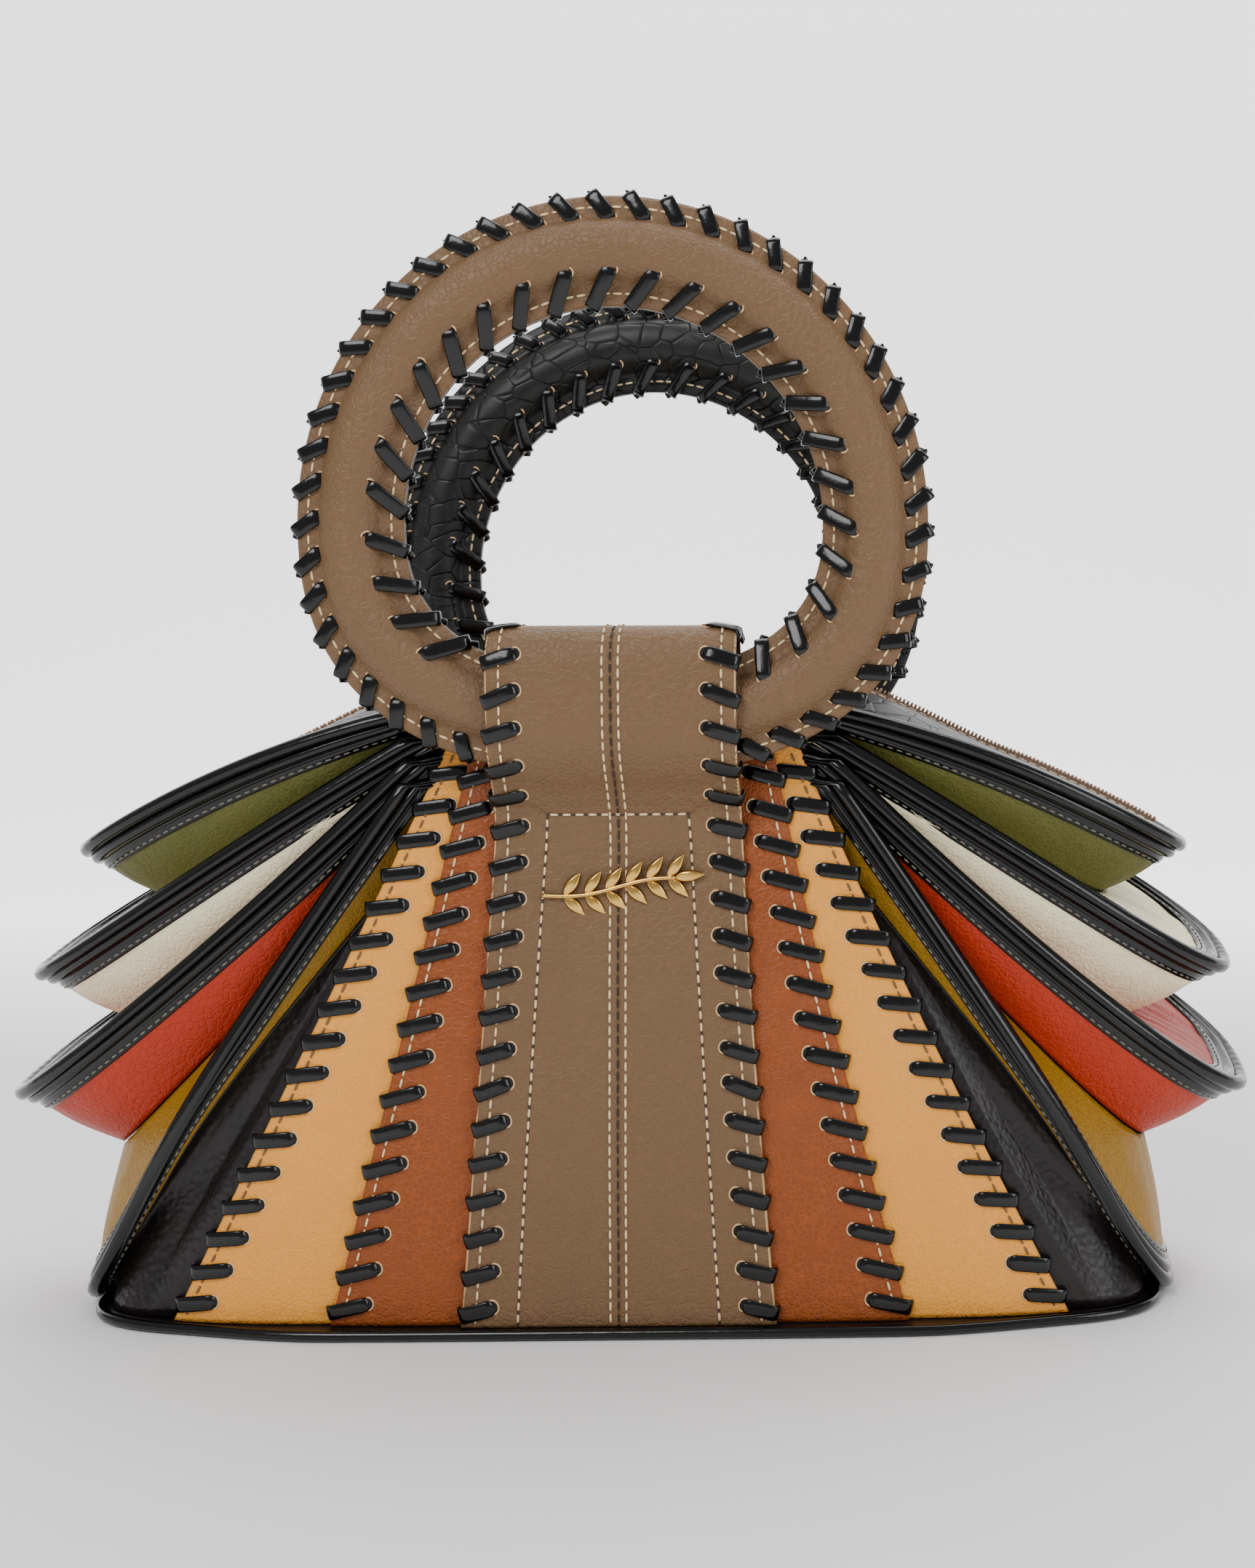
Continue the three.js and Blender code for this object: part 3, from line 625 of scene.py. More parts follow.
def ring_laces(face):
    """Laces round both rims of a ring. Seen from outside the bag they all lean the same way."""
    many = Many()
    for share_hole, share_edge, lean, half_width, drop in (
            (0.8, 1.0, 0.055, RING_OUTER_HALF_WIDTH, 0.8), (0.3, 0.0, 0.095, RING_INNER_HALF_WIDTH, 0.72)):
        fine = np.linspace(0, 2 * np.pi, 1440)
        x, z = ring_line(half_width, drop, fine)
        length = np.concatenate([[0], np.cumsum(np.hypot(np.diff(x), np.diff(z)))])
        count = int(round(length[-1] / LACE_PITCH))
        for i in range(count):
            angle = float(np.interp((i + 0.5) / count * length[-1], length, fine))
            x_edge = ring_line(half_width, drop, np.array([angle]))[0][0]
            if math.cos(angle) < -0.2 and abs(x_edge) < 0.72 * STRAP_HALF_WIDTH + 1:
                continue
            for outward in (1, -1):
                hole_angle = angle - lean * face * outward
                rise = np.interp(share_hole, RING_PROFILE_SHARE, RING_PROFILE_RISE) * RING_THICKNESS * 0.5
                hole = ring_surface(np.array([hole_angle]), np.array([share_hole]), rise, face, outward)[0]
                rim = ring_surface(np.array([angle]), np.array([share_edge]), 1.7, face, outward)[0]
                add_lace(many, hole, rim, np.array([0, face * outward * 1.0, 0]), 4.9, 1.9)
    return many.build(f"{'front' if face == FRONT else 'back'}_ring_laces", [PATENT, HOLE_RIM, PAINTED_HOLE_SHADE])


def ring_stitches(face):
    many = Many()
    angles = np.linspace(0, 2 * np.pi, 481)
    for outward in (1, -1):
        for share in (0.11, 0.89):
            rise = np.interp(share, RING_PROFILE_SHARE, RING_PROFILE_RISE) * RING_THICKNESS * 0.5
            line = ring_surface(angles, np.full(angles.shape, share), rise, face, outward)
            normals = np.broadcast_to(np.array([0, face * outward, 0.0]), line.shape)
            add_stitches(many, line, normals)
    return many.build(f"{'front' if face == FRONT else 'back'}_ring_stitches", [LIGHT_THREAD])


# Strap

STRAP_OVER_RING = np.array([
    (0.735, 0.93), (0.765, 0.99), (0.8, 1.115), (0.84, 1.19), (0.9, 1.207), (0.955, 1.2),
    (0.985, 1.12), (0.994, 1.0), (0.985, 0.88), (0.955, 0.815), (0.9, 0.803), (0.84, 0.8),
])
WALL_ROWS = np.array([WALL_FOOT] + [s * WALL_HEIGHT for s in (0.145, 0.29, 0.44, 0.585, 0.685, 0.78, 0.85, 0.9)])


def strap_route(face, count=220):
    """Height and half depth of the middle of the strap, from its foot to its end behind the ring."""
    height, depth = ring_place(face)
    drop = RING_CENTRE_HEIGHT - height
    rows = WALL_ROWS[WALL_ROWS < 0.7 * STRAP_LOOP_TOP - drop]
    wall = [(z, front_depth(z) + 3 * LAYER_STEP - PANEL_THICKNESS + STRAP_THICKNESS / 2) for z in rows]
    over = [(z * STRAP_LOOP_TOP - drop, y * depth) for z, y in STRAP_OVER_RING]
    line = smooth_line(wall + over, count)
    along = unit(np.gradient(line, axis=0))
    normal = np.stack([-along[:, 1], along[:, 0]], axis=1)
    return line, normal


def strap_half_width(z, past_top):
    return np.where(past_top, 0.78 * STRAP_HALF_WIDTH, strap_edge(z))


BOX_TOP = 171.0


def box_line(z):
    """Half width of the box stitched on the strap, at a height."""
    return 23.2 + (BOX_TOP - z) / 170 * 10


def strap_relief(x, z, past_top):
    """Seam groove, the pressed box stitching, creases from its corners and a swell above it."""
    seam = -0.7 * np.exp(-(x / 0.55) ** 2) + 0.25 * np.exp(-((np.abs(x) - 1.6) / 0.9) ** 2)
    box = -0.35 * np.exp(-((np.abs(x) - box_line(z)) / 0.8) ** 2) * (z < BOX_TOP)
    box = box - 0.45 * np.exp(-((z - BOX_TOP) / 0.9) ** 2) * (np.abs(x) < box_line(BOX_TOP))
    puff = 0.7 * np.exp(-((z - (BOX_TOP + 6)) / 5) ** 2)
    creases = 0 * x
    for lean, reach in ((0.02, 15), (0.3, 12), (-0.3, 12), (0.62, 9), (-0.6, 9)):
        dx = np.abs(x) - box_line(BOX_TOP)
        dz = z - BOX_TOP - lean * dx
        creases = creases - 0.4 * np.exp(-(dz / 0.7) ** 2) * np.exp(-((dx - reach * 0.45) / (reach * 0.45)) ** 2)
    return np.where(past_top, seam, seam + box + puff + creases)


def strap_surface(face, x, i, route, lift=0.0):
    """Points on the strap's outer face at x, at stations i of its route."""
    line, normal, past = route
    half = strap_half_width(line[i, 0], past[i])
    edge = np.clip((np.abs(x) / half - 0.95) / 0.05, 0, 1)
    up = STRAP_THICKNESS / 2 + strap_relief(x, line[i, 0], past[i]) - 0.6 * edge ** 2 + lift
    return np.stack([x + 0 * up, face * (line[i, 1] + up * normal[i, 1]), line[i, 0] + up * normal[i, 0]], axis=-1)


def full_route(face):
    line, normal = strap_route(face, 300)
    past = np.arange(len(line)) > int(np.argmax(line[:, 0]))
    return line, normal, past


def strap(face):
    label = "front" if face == FRONT else "back"
    route = full_route(face)
    line, normal, past = route
    half = strap_half_width(line[:, 0], past)
    across = np.concatenate([np.linspace(-1, -0.95, 5), np.linspace(-0.935, 0.935, 121), np.linspace(0.95, 1, 5)])
    i, j = np.meshgrid(np.arange(len(line)), np.arange(len(across)), indexing="ij")
    x = half[:, None] * across[None, :]
    outer = strap_surface(face, x, i, route)
    depth = -STRAP_THICKNESS / 2
    inner = np.stack([x, face * (line[i, 1] + depth * normal[i, 1]), line[i, 0] + depth * normal[i, 0]], axis=-1)
    rows, columns = x.shape
    n = rows * columns
    faces = grid_faces(rows, columns)
    index = [1 if f[0] % columns in (0, columns - 2) else 0 for f in faces]
    faces += [f[::-1] for f in grid_faces(rows, columns, n)]
    index += [0] * (len(faces) - len(index))
    for a in range(rows - 1):
        left, right = a * columns, a * columns + columns - 1
        faces.append((left, left + columns, n + left + columns, n + left))
        faces.append((right + columns, right, n + right, n + right + columns))
    for b in range(columns - 1):
        low, high = b, (rows - 1) * columns + b
        faces.append((low + 1, low, n + low, n + low + 1))
        faces.append((high, high + 1, n + high + 1, n + high))
    index += [1] * (len(faces) - len(index))
    if face == BACK:
        faces = [f[::-1] for f in faces]
    verts = np.vstack([outer.reshape(-1, 3), inner.reshape(-1, 3)])
    obj = make_object(f"{label}_strap_leather", verts, faces, [TAUPE, TAUPE_EDGE], index)
    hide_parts(f"{label}_strap")
    return obj


def strap_trim(face):
    label = "front" if face == FRONT else "back"
    route = full_route(face)
    line, normal, past = route
    z = line[:, 0]
    half = strap_half_width(z, past)
    top_at = int(np.argmax(z))
    last = top_at + 30
    stitches, laces = Many(), Many()
    normals = np.stack([0 * z, face * normal[:, 1], normal[:, 0]], axis=1)

    def run(x, stations, material, lift=0.12, pitch=STITCH_PITCH):
        points = strap_surface(face, x, stations, route, lift)
        add_stitches(stitches, points, normals[stations], pitch=pitch, material=material)

    length = np.arange(1, last)
    box = np.arange(1, int(np.argmax(z > BOX_TOP)))
    for side in (-1, 1):
        run(side * 2.6 + 0 * z[length], length, 0)
        run(side * (half[length] - 4.6), length, 0)
        run(side * box_line(z[box]), box, 0)
        run(side * box_line(z[box]), box, 1, 0.0, STITCH_PITCH * 0.5)
    run(0 * z[length], length, 1, 0.25)
    row = np.full(40, box[-1] + 1)
    run(np.linspace(-box_line(BOX_TOP), box_line(BOX_TOP), 40), row, 0)
    run(np.linspace(-box_line(BOX_TOP), box_line(BOX_TOP), 40), row, 1, 0.0, STITCH_PITCH * 0.5)

    along = np.concatenate([[0], np.cumsum(np.linalg.norm(np.diff(line[:last], axis=0), axis=1))])
    count = int(round(along[-1] / LACE_PITCH))
    for k in range(count):
        s = (k + 0.55) / count * along[-1]
        high = int(np.argmin(np.abs(along - s)))
        low = int(np.argmin(np.abs(along - (s - 2.9))))
        for side in (-1, 1):
            hole = strap_surface(face, np.array([side * (half[high] - 9.4)]), np.array([high]), route)[0]
            edge = strap_surface(face, np.array([side * half[low]]), np.array([low]), route)[0]
            add_lace(laces, hole, edge, normals[high], 5.0)
    stitched = stitches.build(f"{label}_strap_stitches", [LIGHT_THREAD, DARK_THREAD])
    laced = laces.build(f"{label}_strap_laces", [PATENT, HOLE_RIM, PAINTED_HOLE_SHADE])
    return stitched, laced


# Side panels

def panel_point(x, z, layer, face, side, lift=0.0):
    y = front_depth(z) * corner_share(x) + layer * LAYER_STEP + lift
    return np.stack([side * x, face * y, z + 0 * x], axis=-1)


def panel_surface(shape, neighbour, x, z, face, side, lift=0.0):
    """Outer face of a side panel: a slight swell between its neighbour's edge and its own."""
    outer = panel_edge(shape, z)
    swell = 0.4 * np.sin(np.pi * np.clip((x - neighbour(z)) / (outer - neighbour(z)), 0, 1))
    edge = -0.5 * np.clip((x - outer + 1.6) / 1.6, 0, 1) ** 2
    return panel_point(x, z, shape["layer"], face, side, swell + edge + lift)


def side_panel(colour, shape, neighbour, side, face, materials):
    end, hand = ("front" if face == FRONT else "back"), ("left" if side == LEFT else "right")
    heights = smooth_line([(z, 0) for z in WALL_ROWS.tolist() + [shape["top"] * WALL_HEIGHT]], 140)[:, 0]
    share = np.concatenate([np.linspace(0, 0.92, 26), np.linspace(0.935, 1, 6)])
    inner = neighbour(heights) - LAP
    outer = panel_edge(shape, heights)
    x = inner[:, None] + (outer - inner)[:, None] * share[None, :]
    z = np.broadcast_to(heights[:, None], x.shape)
    grid = panel_surface(shape, neighbour, x, z, face, side)
    obj = leather_sheet(f"{colour}_leather_{end}_{hand}", grid, PANEL_THICKNESS, -side * face, materials)
    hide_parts(f"{colour}_panel_{end}_{hand}")
    return obj


def panel_trim(shape, neighbour, face, side, climb, thread_index, laces, stitches):
    """Stitches and laces along a side panel's own edge; climb is how far a lace rises inwards."""
    heights = np.linspace(WALL_FOOT + 2, 0.93 * WALL_HEIGHT, 160)

    def at(inset, z, lift=0.0):
        return panel_surface(shape, neighbour, panel_edge(shape, z) - inset, z, face, side, lift)

    inset = at(3.6, heights, 0.14)
    normals = np.broadcast_to(np.array([0, face, 0.12]), inset.shape)
    add_stitches(stitches, inset, normals, material=thread_index)
    edge = at(0.0, heights)
    along = np.concatenate([[0], np.cumsum(np.linalg.norm(np.diff(edge, axis=0), axis=1))])
    count = int(round(along[-1] / LACE_PITCH))
    for k in range(count):
        z_hole = float(np.interp((k + 0.45) / count * along[-1], along, heights))
        add_lace(laces, at(10.2, z_hole), at(-0.9, z_hole - climb, 0.1), np.array([0, face, 0.1]), 4.9, 1.6)


# Fan folds

TUCK = 3
ANGLES = np.linspace(0, np.pi, 121)
ALL_ANGLES = np.concatenate([[0] * TUCK, ANGLES, [np.pi] * TUCK])


def leg(start, end, outward, sag, count):
    t = np.linspace(0, 1, count)[None, :, None]
    return (start[:, None, :] * (1 - t) + end[:, None, :] * t
            + outward[:, None, :] * sag * np.sin(np.pi * t))


def extended_fold(name, side):
    """A fold line with both ends carried on behind the tan panels."""
    line = fold_line(name, ANGLES, side)
    inwards, back, up = (5.5, 2.4, 0.8) if name.startswith("ridge") else (2.0, 0.8, 0.2)
    steps = np.arange(TUCK, 0, -1)[:, None]
    front = line[0] + steps * np.array([-side * inwards, back, up])
    rear = line[-1] + steps[::-1] * np.array([-side * inwards, -back, up])
    return np.vstack([front, line, rear])


def last_fold_settled(ridge, valley):
    """The lowest fold hangs over the base's corners, with the gusset swelling up under it."""
    reach = np.abs(ridge[:, 0]) / (FOLDS["ridge4"]["tip"][0] * BASE_HALF_WIDTH)
    sag = 9.5 * np.exp(-((reach - 0.93) / 0.13) ** 2)
    ridge = ridge - np.stack([0 * sag, 0 * sag, sag], axis=1)
    width = 0.45 + 0.5 * np.clip((0.8 - reach) / 0.42, 0, 1)
    return ridge, ridge + (valley - ridge) * width[:, None]


def fold_frame(upper, ridge, lower, side):
    """Lines of a fold: where its leaves start, its crest under the roll, and where they end."""
    r = extended_fold(ridge, side)
    b = extended_fold(lower, side)
    if lower == "valley4":
        r, b = last_fold_settled(r, b)
    a = extended_fold(upper, side) if upper else None
    middle = (a + b) / 2 if upper else b
    crest = r + unit(middle - r) * 1.8
    return a, r, crest, b


def leaf_outward(crest, valley, inside):
    """Direction out of the bag at a leaf from crest to valley, away from the points inside."""
    down = unit(valley - crest)
    along = unit(np.gradient(crest, axis=0))
    normal = unit(np.cross(down, along))
    inward = np.sum(normal * (inside - crest), axis=1, keepdims=True)
    return normal * np.where(inward > 0, -1.0, 1.0)


def soft_creases(grid, outward, amount, seed):
    """Slow dimples and pulls across a leaf, strongest at the rounded end of the fold."""
    rng = np.random.default_rng(seed)
    rows, columns = grid.shape[:2]
    u = np.linspace(0, 1, rows)[:, None]
    v = np.linspace(0, 1, columns)[None, :]
    relief = np.zeros((rows, columns))
    for _ in range(10):
        centre = rng.uniform(0.05, 0.95)
        lean = rng.uniform(-0.12, 0.12)
        width = rng.uniform(0.012, 0.03)
        relief += rng.uniform(-1, 1) * np.exp(-((u - centre - lean * v) / width) ** 2) * np.sin(np.pi * v)
    end_pull = np.exp(-((u - 0.5) / 0.16) ** 2) * np.sin(u * 150) * (1 - v) * 0.6
    return grid + outward[:, None, :] * ((relief + end_pull) * amount)[..., None]


def fold(name, upper, ridge, lower, side, material, node, seed):
    a, r, crest, b = fold_frame(upper, ridge, lower, side)
    inside = a if upper else crest + np.array([0, 0, 10.0])
    out_under = leaf_outward(crest, b, inside)
    sag = 0.3 if lower == "valley4" else 1.6
    rows = soft_creases(leg(crest, b + unit(crest - b) * 0.4, out_under, sag, 20), out_under, 0.55, seed)
    if upper:
        out_over = leaf_outward(crest, a, b)
        over = leg(a + unit(crest - a) * 0.4, crest, out_over, 1.4, 18)
        over = soft_creases(over, out_over, 0.55, seed + 50)
        rows = np.concatenate([over[:, :-1], rows], axis=1)
    obj = leather_sheet(name, rows, 1.4, side, [material])
    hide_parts(node)
    return obj


# Section of the binding beside the roll: share of its reach down the leaf, height over the leaf.
# A second flat welt, a groove, a stitched strip and its turned edge.
STRIP_SECTION = np.array([
    (0.02, 0.3), (0.06, 1.5), (0.14, 2.35), (0.25, 2.75), (0.37, 2.6), (0.46, 2.0), (0.5, 1.35), (0.55, 1.3),
    (0.6, 1.75), (0.68, 1.9), (0.78, 1.8), (0.84, 1.7), (0.9, 1.85), (0.96, 1.6), (1.0, 0.9), (1.0, -0.6),
    (0.02, -0.6),
])
STRIP_REACH = 9.6


def side_strip(start, end, inside, stitches, full_reach=STRIP_REACH):
    outward = leaf_outward(start, end, inside)
    down = unit(end - start)
    length = np.linalg.norm(end - start, axis=1)
    reach = np.minimum(full_reach, 0.72 * length)
    verts = (start[:, None, :] + down[:, None, :] * (reach[:, None] * STRIP_SECTION[None, :, 0])[..., None]
             + outward[:, None, :] * STRIP_SECTION[None, :, 1][..., None])
    rows, columns = verts.shape[:2]
    faces = grid_faces(rows, columns, 0, False, True)
    faces += [tuple(range(columns))[::-1], tuple(range((rows - 1) * columns, rows * columns))]
    seam = start + down * (reach * 0.8)[:, None] + outward * 1.85
    keep = slice(7, len(seam) - 7)
    add_stitches(stitches, seam[keep], outward[keep], 3.3, 2.1, 0.3, 0.05)
    return verts.reshape(-1, 3), faces


def binding(number, side):
    """Patent binding of one fold's edge: the roll and a stitched strip on each leaf."""
    hand = "left" if side == LEFT else "right"
    upper = f"valley{number - 1}" if number > 1 else None
    a, r, crest, b = fold_frame(upper, f"ridge{number}", f"valley{number}", side)
    body, stitches = Many(), Many()
    tangents = unit(np.gradient(r, axis=0))
    out = unit(r - crest)
    cross = unit(np.cross(tangents, out))
    pucker = 1 + 0.05 * np.sin(np.arange(len(r)) * 1.9) * np.exp(-((ALL_ANGLES - np.pi / 2) / 0.35) ** 2)
    profile = circle_profile(ROLL_RADIUS, 16)
    verts = (r[:, None, :] + out[:, None, :] * (profile[None, :, :1] * pucker[:, None, None])
             + cross[:, None, :] * (profile[None, :, 1:] * pucker[:, None, None]))
    faces = grid_faces(len(r), len(profile), 0, False, True)
    faces += [tuple(range(16))[::-1], tuple(range((len(r) - 1) * 16, len(r) * 16))]
    body.add(verts.reshape(-1, 3), faces)
    inside = a if upper else crest + np.array([0, 0, 10.0])
    body.add(*side_strip(crest, b, inside, stitches, 6.5 if number == 4 else STRIP_REACH))
    top = a if upper else r * (0.72, 0.25, 1.0) + np.array([0, 0, 3.0])
    body.add(*side_strip(crest if upper else r + unit(top - r) * 1.8, top, b, stitches))
    obj = body.build(f"binding_{number}_{hand}", [PATENT])
    fix_normals(obj)
    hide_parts(f"piping_{number}_{hand}")
    stitches.build(f"binding_stitches_{number}_{hand}", [GREY_THREAD])
    return obj


def lower_gusset(side):
    hand = "left" if side == LEFT else "right"
    ridge, top = last_fold_settled(extended_fold("ridge4", side), extended_fold("valley4", side))
    reach = BASE_HALF_WIDTH - 1.5
    start_share = (TAN["foot"] * BASE_HALF_WIDTH - LAP) / reach
    start_angle = math.atan2(start_share, float(corner_share(start_share * BASE_HALF_WIDTH)))
    turn = start_angle + (math.pi - 2 * start_angle) * ALL_ANGLES / math.pi
    ux, uy = rounded_unit(turn, BASE_SQUARENESS)
    t = np.clip((ux - start_share) / (1 - start_share), 0, 1)
    depth = front_depth(WALL_FOOT) + 2.6 * t * t * (3 - 2 * t)
    foot = np.stack([side * ux * reach, uy * depth, np.full(ux.shape, WALL_FOOT)], -1)
    middle = np.array([0.0, 0.0, 60.0]) + 0 * top
    outward = leaf_outward(top, foot, middle)
    rows = leg(top, foot, outward, 0.5, 40)
    low = np.linspace(0, 1, 40)[None, :, None]
    swell = 3.2 * np.sin(np.pi * low ** 1.7) * np.clip(t * 3, 0, 1)[:, None, None]
    rows = soft_creases(rows + outward[:, None, :] * swell, outward, 0.3, 11)
    obj = leather_sheet(f"lower_gusset_leather_{hand}", rows, 1.5, side, [DARK])
    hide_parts(f"lower_gusset_{hand}")
    return obj


# Top and zip

ZIP_END_DEGREES = 62
TOP_BULGE = 7.0


def top_stations(end_degrees):
    degrees = np.linspace(0, end_degrees, int(end_degrees * 0.7))
    r = fold_line("ridge1", np.radians(degrees), RIGHT)
    rear = fold_line("ridge1", np.pi - np.radians(degrees), RIGHT)
    start = r[0]
    share = np.linspace(0, 1, 16)[:-1]
    middle = np.stack([share * start[0], np.full(share.shape, 0.612 * BASE_HALF_DEPTH),
                       start[2] + TOP_CROWN * (1 - share ** 2), 0 * share], axis=1)
    ends = np.stack([r[:, 0], np.maximum(-r[:, 1] - 1.6, 0.5), r[:, 2], rear[:, 2] - r[:, 2]], axis=1)
    half = np.vstack([middle, ends])
    return np.vstack([half[1:][::-1] * (-1, 1, 1, 1), half])


def top_height(stations, y):
    """Height of the top at depth y: crowned along the zip and lifted at its rear edge."""
    edge = stations[:, 1:2]
    share = np.clip(np.abs(y) / edge, 0, 1)
    lift = stations[:, 3:4] * 0.5 * (1 + y / edge)
    fade = np.clip((np.abs(stations[:, :1]) - 72) / 60, 0, 1)
    bulge = TOP_CROWN * 0.5 + TOP_BULGE * (1 - fade * fade * (3 - 2 * fade))
    return stations[:, 2:3] + bulge * (1 - share ** 2) + lift


def top_half(face):
    label = "front" if face == FRONT else "back"
    stations = top_stations(86)
    zip_end = top_stations(ZIP_END_DEGREES)[-1, 0]
    inner = np.where(np.abs(stations[:, :1]) < zip_end, ZIP_HALF_WIDTH * 0.75, 0.05)
    share = np.linspace(0, 1, 16)
    y = face * (inner + np.maximum(stations[:, 1:2] - inner, 0.3) * share[None, :])
    z = top_height(stations, y) + 0.4 * np.sin(np.pi * share)[None, :]
    grid = np.stack([np.broadcast_to(stations[:, :1], y.shape), y, z], axis=-1)
    obj = leather_sheet(f"top_leather_{label}", grid, 1.5, -face, [SCALES])
    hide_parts(f"top_{label}")
    stitches = Many()
    beside = top_stations(ZIP_END_DEGREES)
    y = np.full((len(beside), 1), face * (ZIP_HALF_WIDTH + 2.2))
    line = np.hstack([beside[:, :1], y, top_height(beside, y) + 0.25])
    add_stitches(stitches, line, np.broadcast_to(np.array([0, 0, 1.0]), line.shape))
    stitches.build(f"top_stitches_{label}", [LIGHT_THREAD])
    return obj


def zip_closure():
    stations = top_stations(ZIP_END_DEGREES)
    middle = np.zeros((len(stations), 1))
    line = np.hstack([stations[:, :1], middle, top_height(stations, middle) + 0.9])
    tangents = unit(np.gradient(line, axis=0))
    sides = np.broadcast_to(np.array([0, 1.0, 0]), tangents.shape)
    ups = unit(np.cross(tangents, sides))
    profile = [(-4.2, -2.2), (-4.2, -1.2), (-1.7, 0.2), (1.7, 0.2), (4.2, -1.2), (4.2, -2.2)]
    many = Many()
    verts, faces = sweep(line, sides, ups, profile)
    many.add(verts, faces, 0)
    count = int(line_length(line) / 1.5)
    even = resample(np.hstack([line, tangents, ups]), count)
    side = np.array([0, 1.0, 0])
    for i, row in enumerate(even):
        p, t, n = row[:3], unit(row[3:6]), unit(row[6:9])
        y0 = 0.35 if i % 2 else -0.35
        half = np.array([[-0.5, -1.5 + y0, 0.1], [0.5, -1.5 + y0, 0.1], [0.5, 1.5 + y0, 0.1], [-0.5, 1.5 + y0, 0.1],
                         [-0.35, -1.1 + y0, 1.5], [0.35, -1.1 + y0, 1.5], [0.35, 1.1 + y0, 1.5],
                         [-0.35, 1.1 + y0, 1.5]])
        verts = p + half[:, :1] * t + half[:, 1:2] * side + half[:, 2:] * n
        faces = [(0, 3, 2, 1), (4, 5, 6, 7), (0, 1, 5, 4), (1, 2, 6, 5), (2, 3, 7, 6), (3, 0, 4, 7)]
        many.add(verts, faces, 1)
    obj = many.build("zip_closure", [ZIP_TAPE, ZIP_TEETH])
    fix_normals(obj)
    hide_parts("zip")
    return obj


# Base and ornament

def base_outline(angles, out):
    ux, uy = rounded_unit(angles, BASE_SQUARENESS)
    t = np.clip((np.abs(ux) - RUST["foot"]) / (TAN["foot"] - RUST["foot"]), 0, 1)
    taper = BASE_TAPER * t * t * (3 - 2 * t)
    return ux * (BASE_HALF_WIDTH + out), uy * (BASE_HALF_DEPTH - taper + out)


def base_pieces():
    angles = np.linspace(0, 2 * np.pi, 240, endpoint=False)
    rings = []
    for inset, z in ((0.6, 0.0), (0.0, 0.5), (0.0, BASE_THICKNESS - 0.5), (0.6, BASE_THICKNESS)):
        x, y = base_outline(angles, -inset)
        rings.append(np.stack([x, y, np.full(x.shape, z)], axis=1))
    verts = np.vstack(rings)
    count = len(angles)
    faces = grid_faces(len(rings), count, 0, False, True)
    faces += [tuple(range(count))[::-1], tuple(range(3 * count, 4 * count))]
    obj = make_object("base_leather", verts, faces, [DARK], smooth=False)
    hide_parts("base_panel")
    x, y = base_outline(angles, BASE_PIPING_RADIUS + 0.1)
    line = np.stack([x, y, np.full(x.shape, BASE_PIPING_RADIUS + 0.3)], axis=1)
    tangent = unit(np.roll(line, -1, axis=0) - np.roll(line, 1, axis=0))
    up = np.broadcast_to(np.array([0, 0, 1.0]), line.shape)
    verts, faces = sweep(line, unit(np.cross(tangent, up)), up, circle_profile(BASE_PIPING_RADIUS, 12), True)
    piping = make_object("base_piping_roll", verts, faces, [PATENT])
    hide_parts("base_piping")


def ornament():
    """A gilt sprig: a gently curved stem with pairs of domed leaves."""
    length, tilt, centre_z = 50.0, math.radians(6), 147.0
    depth = front_depth(centre_z) + 3 * LAYER_STEP - PANEL_THICKNESS + STRAP_THICKNESS + 0.6
    many = Many()

    def place(u, v, w):
        x = u * math.cos(tilt) - v * math.sin(tilt)
        z = u * math.sin(tilt) + v * math.cos(tilt)
        return np.stack([x, -(depth + w), centre_z + z], axis=-1)

    u = np.linspace(-length / 2, length / 2 - 6, 40)
    v = 1.4 * np.sin(u / length * 2 * np.pi)
    stem = place(u, v, np.full(u.shape, 0.9))
    tangents = unit(np.gradient(stem, axis=0))
    ups = np.broadcast_to(np.array([0, -1.0, 0]), tangents.shape)
    verts, faces = sweep(stem, unit(np.cross(ups, tangents)), ups, circle_profile(0.75, 8))
    many.add(verts, faces)
    leaves = [(s, lean) for s in np.linspace(-0.36, 0.33, 6) for lean in (-0.85, 0.85)] + [(0.37, 0.0)]
    t = np.linspace(0, 1, 13)
    for share, lean in leaves:
        base_u = share * length
        base_v = 1.4 * math.sin(share * 2 * np.pi)
        reach = 9.5 if lean else 10.5
        direction = np.array([math.cos(lean), math.sin(lean)])
        square = np.array([-direction[1], direction[0]])
        half = 2.1 * np.sin(np.pi * t ** 0.85) ** 0.9
        rows = []
        for w_share, rise in ((-1, 0.25), (-0.75, 0.95), (-0.4, 1.35), (0, 0.95), (0.4, 1.35), (0.75, 0.95),
                              (1, 0.25), (0.5, 0.1), (-0.5, 0.1)):
            uu = base_u + direction[0] * t * reach + square[0] * half * w_share
            vv = base_v + direction[1] * t * reach + square[1] * half * w_share
            rise_t = rise * (0.35 + 0.65 * np.sin(np.pi * np.clip(t, 0.05, 0.95)))
            rows.append(place(uu, vv, rise_t))
        grid = np.stack(rows, axis=1)
        faces = grid_faces(grid.shape[0], grid.shape[1], 0, False, True)
        many.add(grid.reshape(-1, 3), faces)
    obj = many.build("gilt_sprig", [GOLD])
    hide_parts("ornament")


# Stage

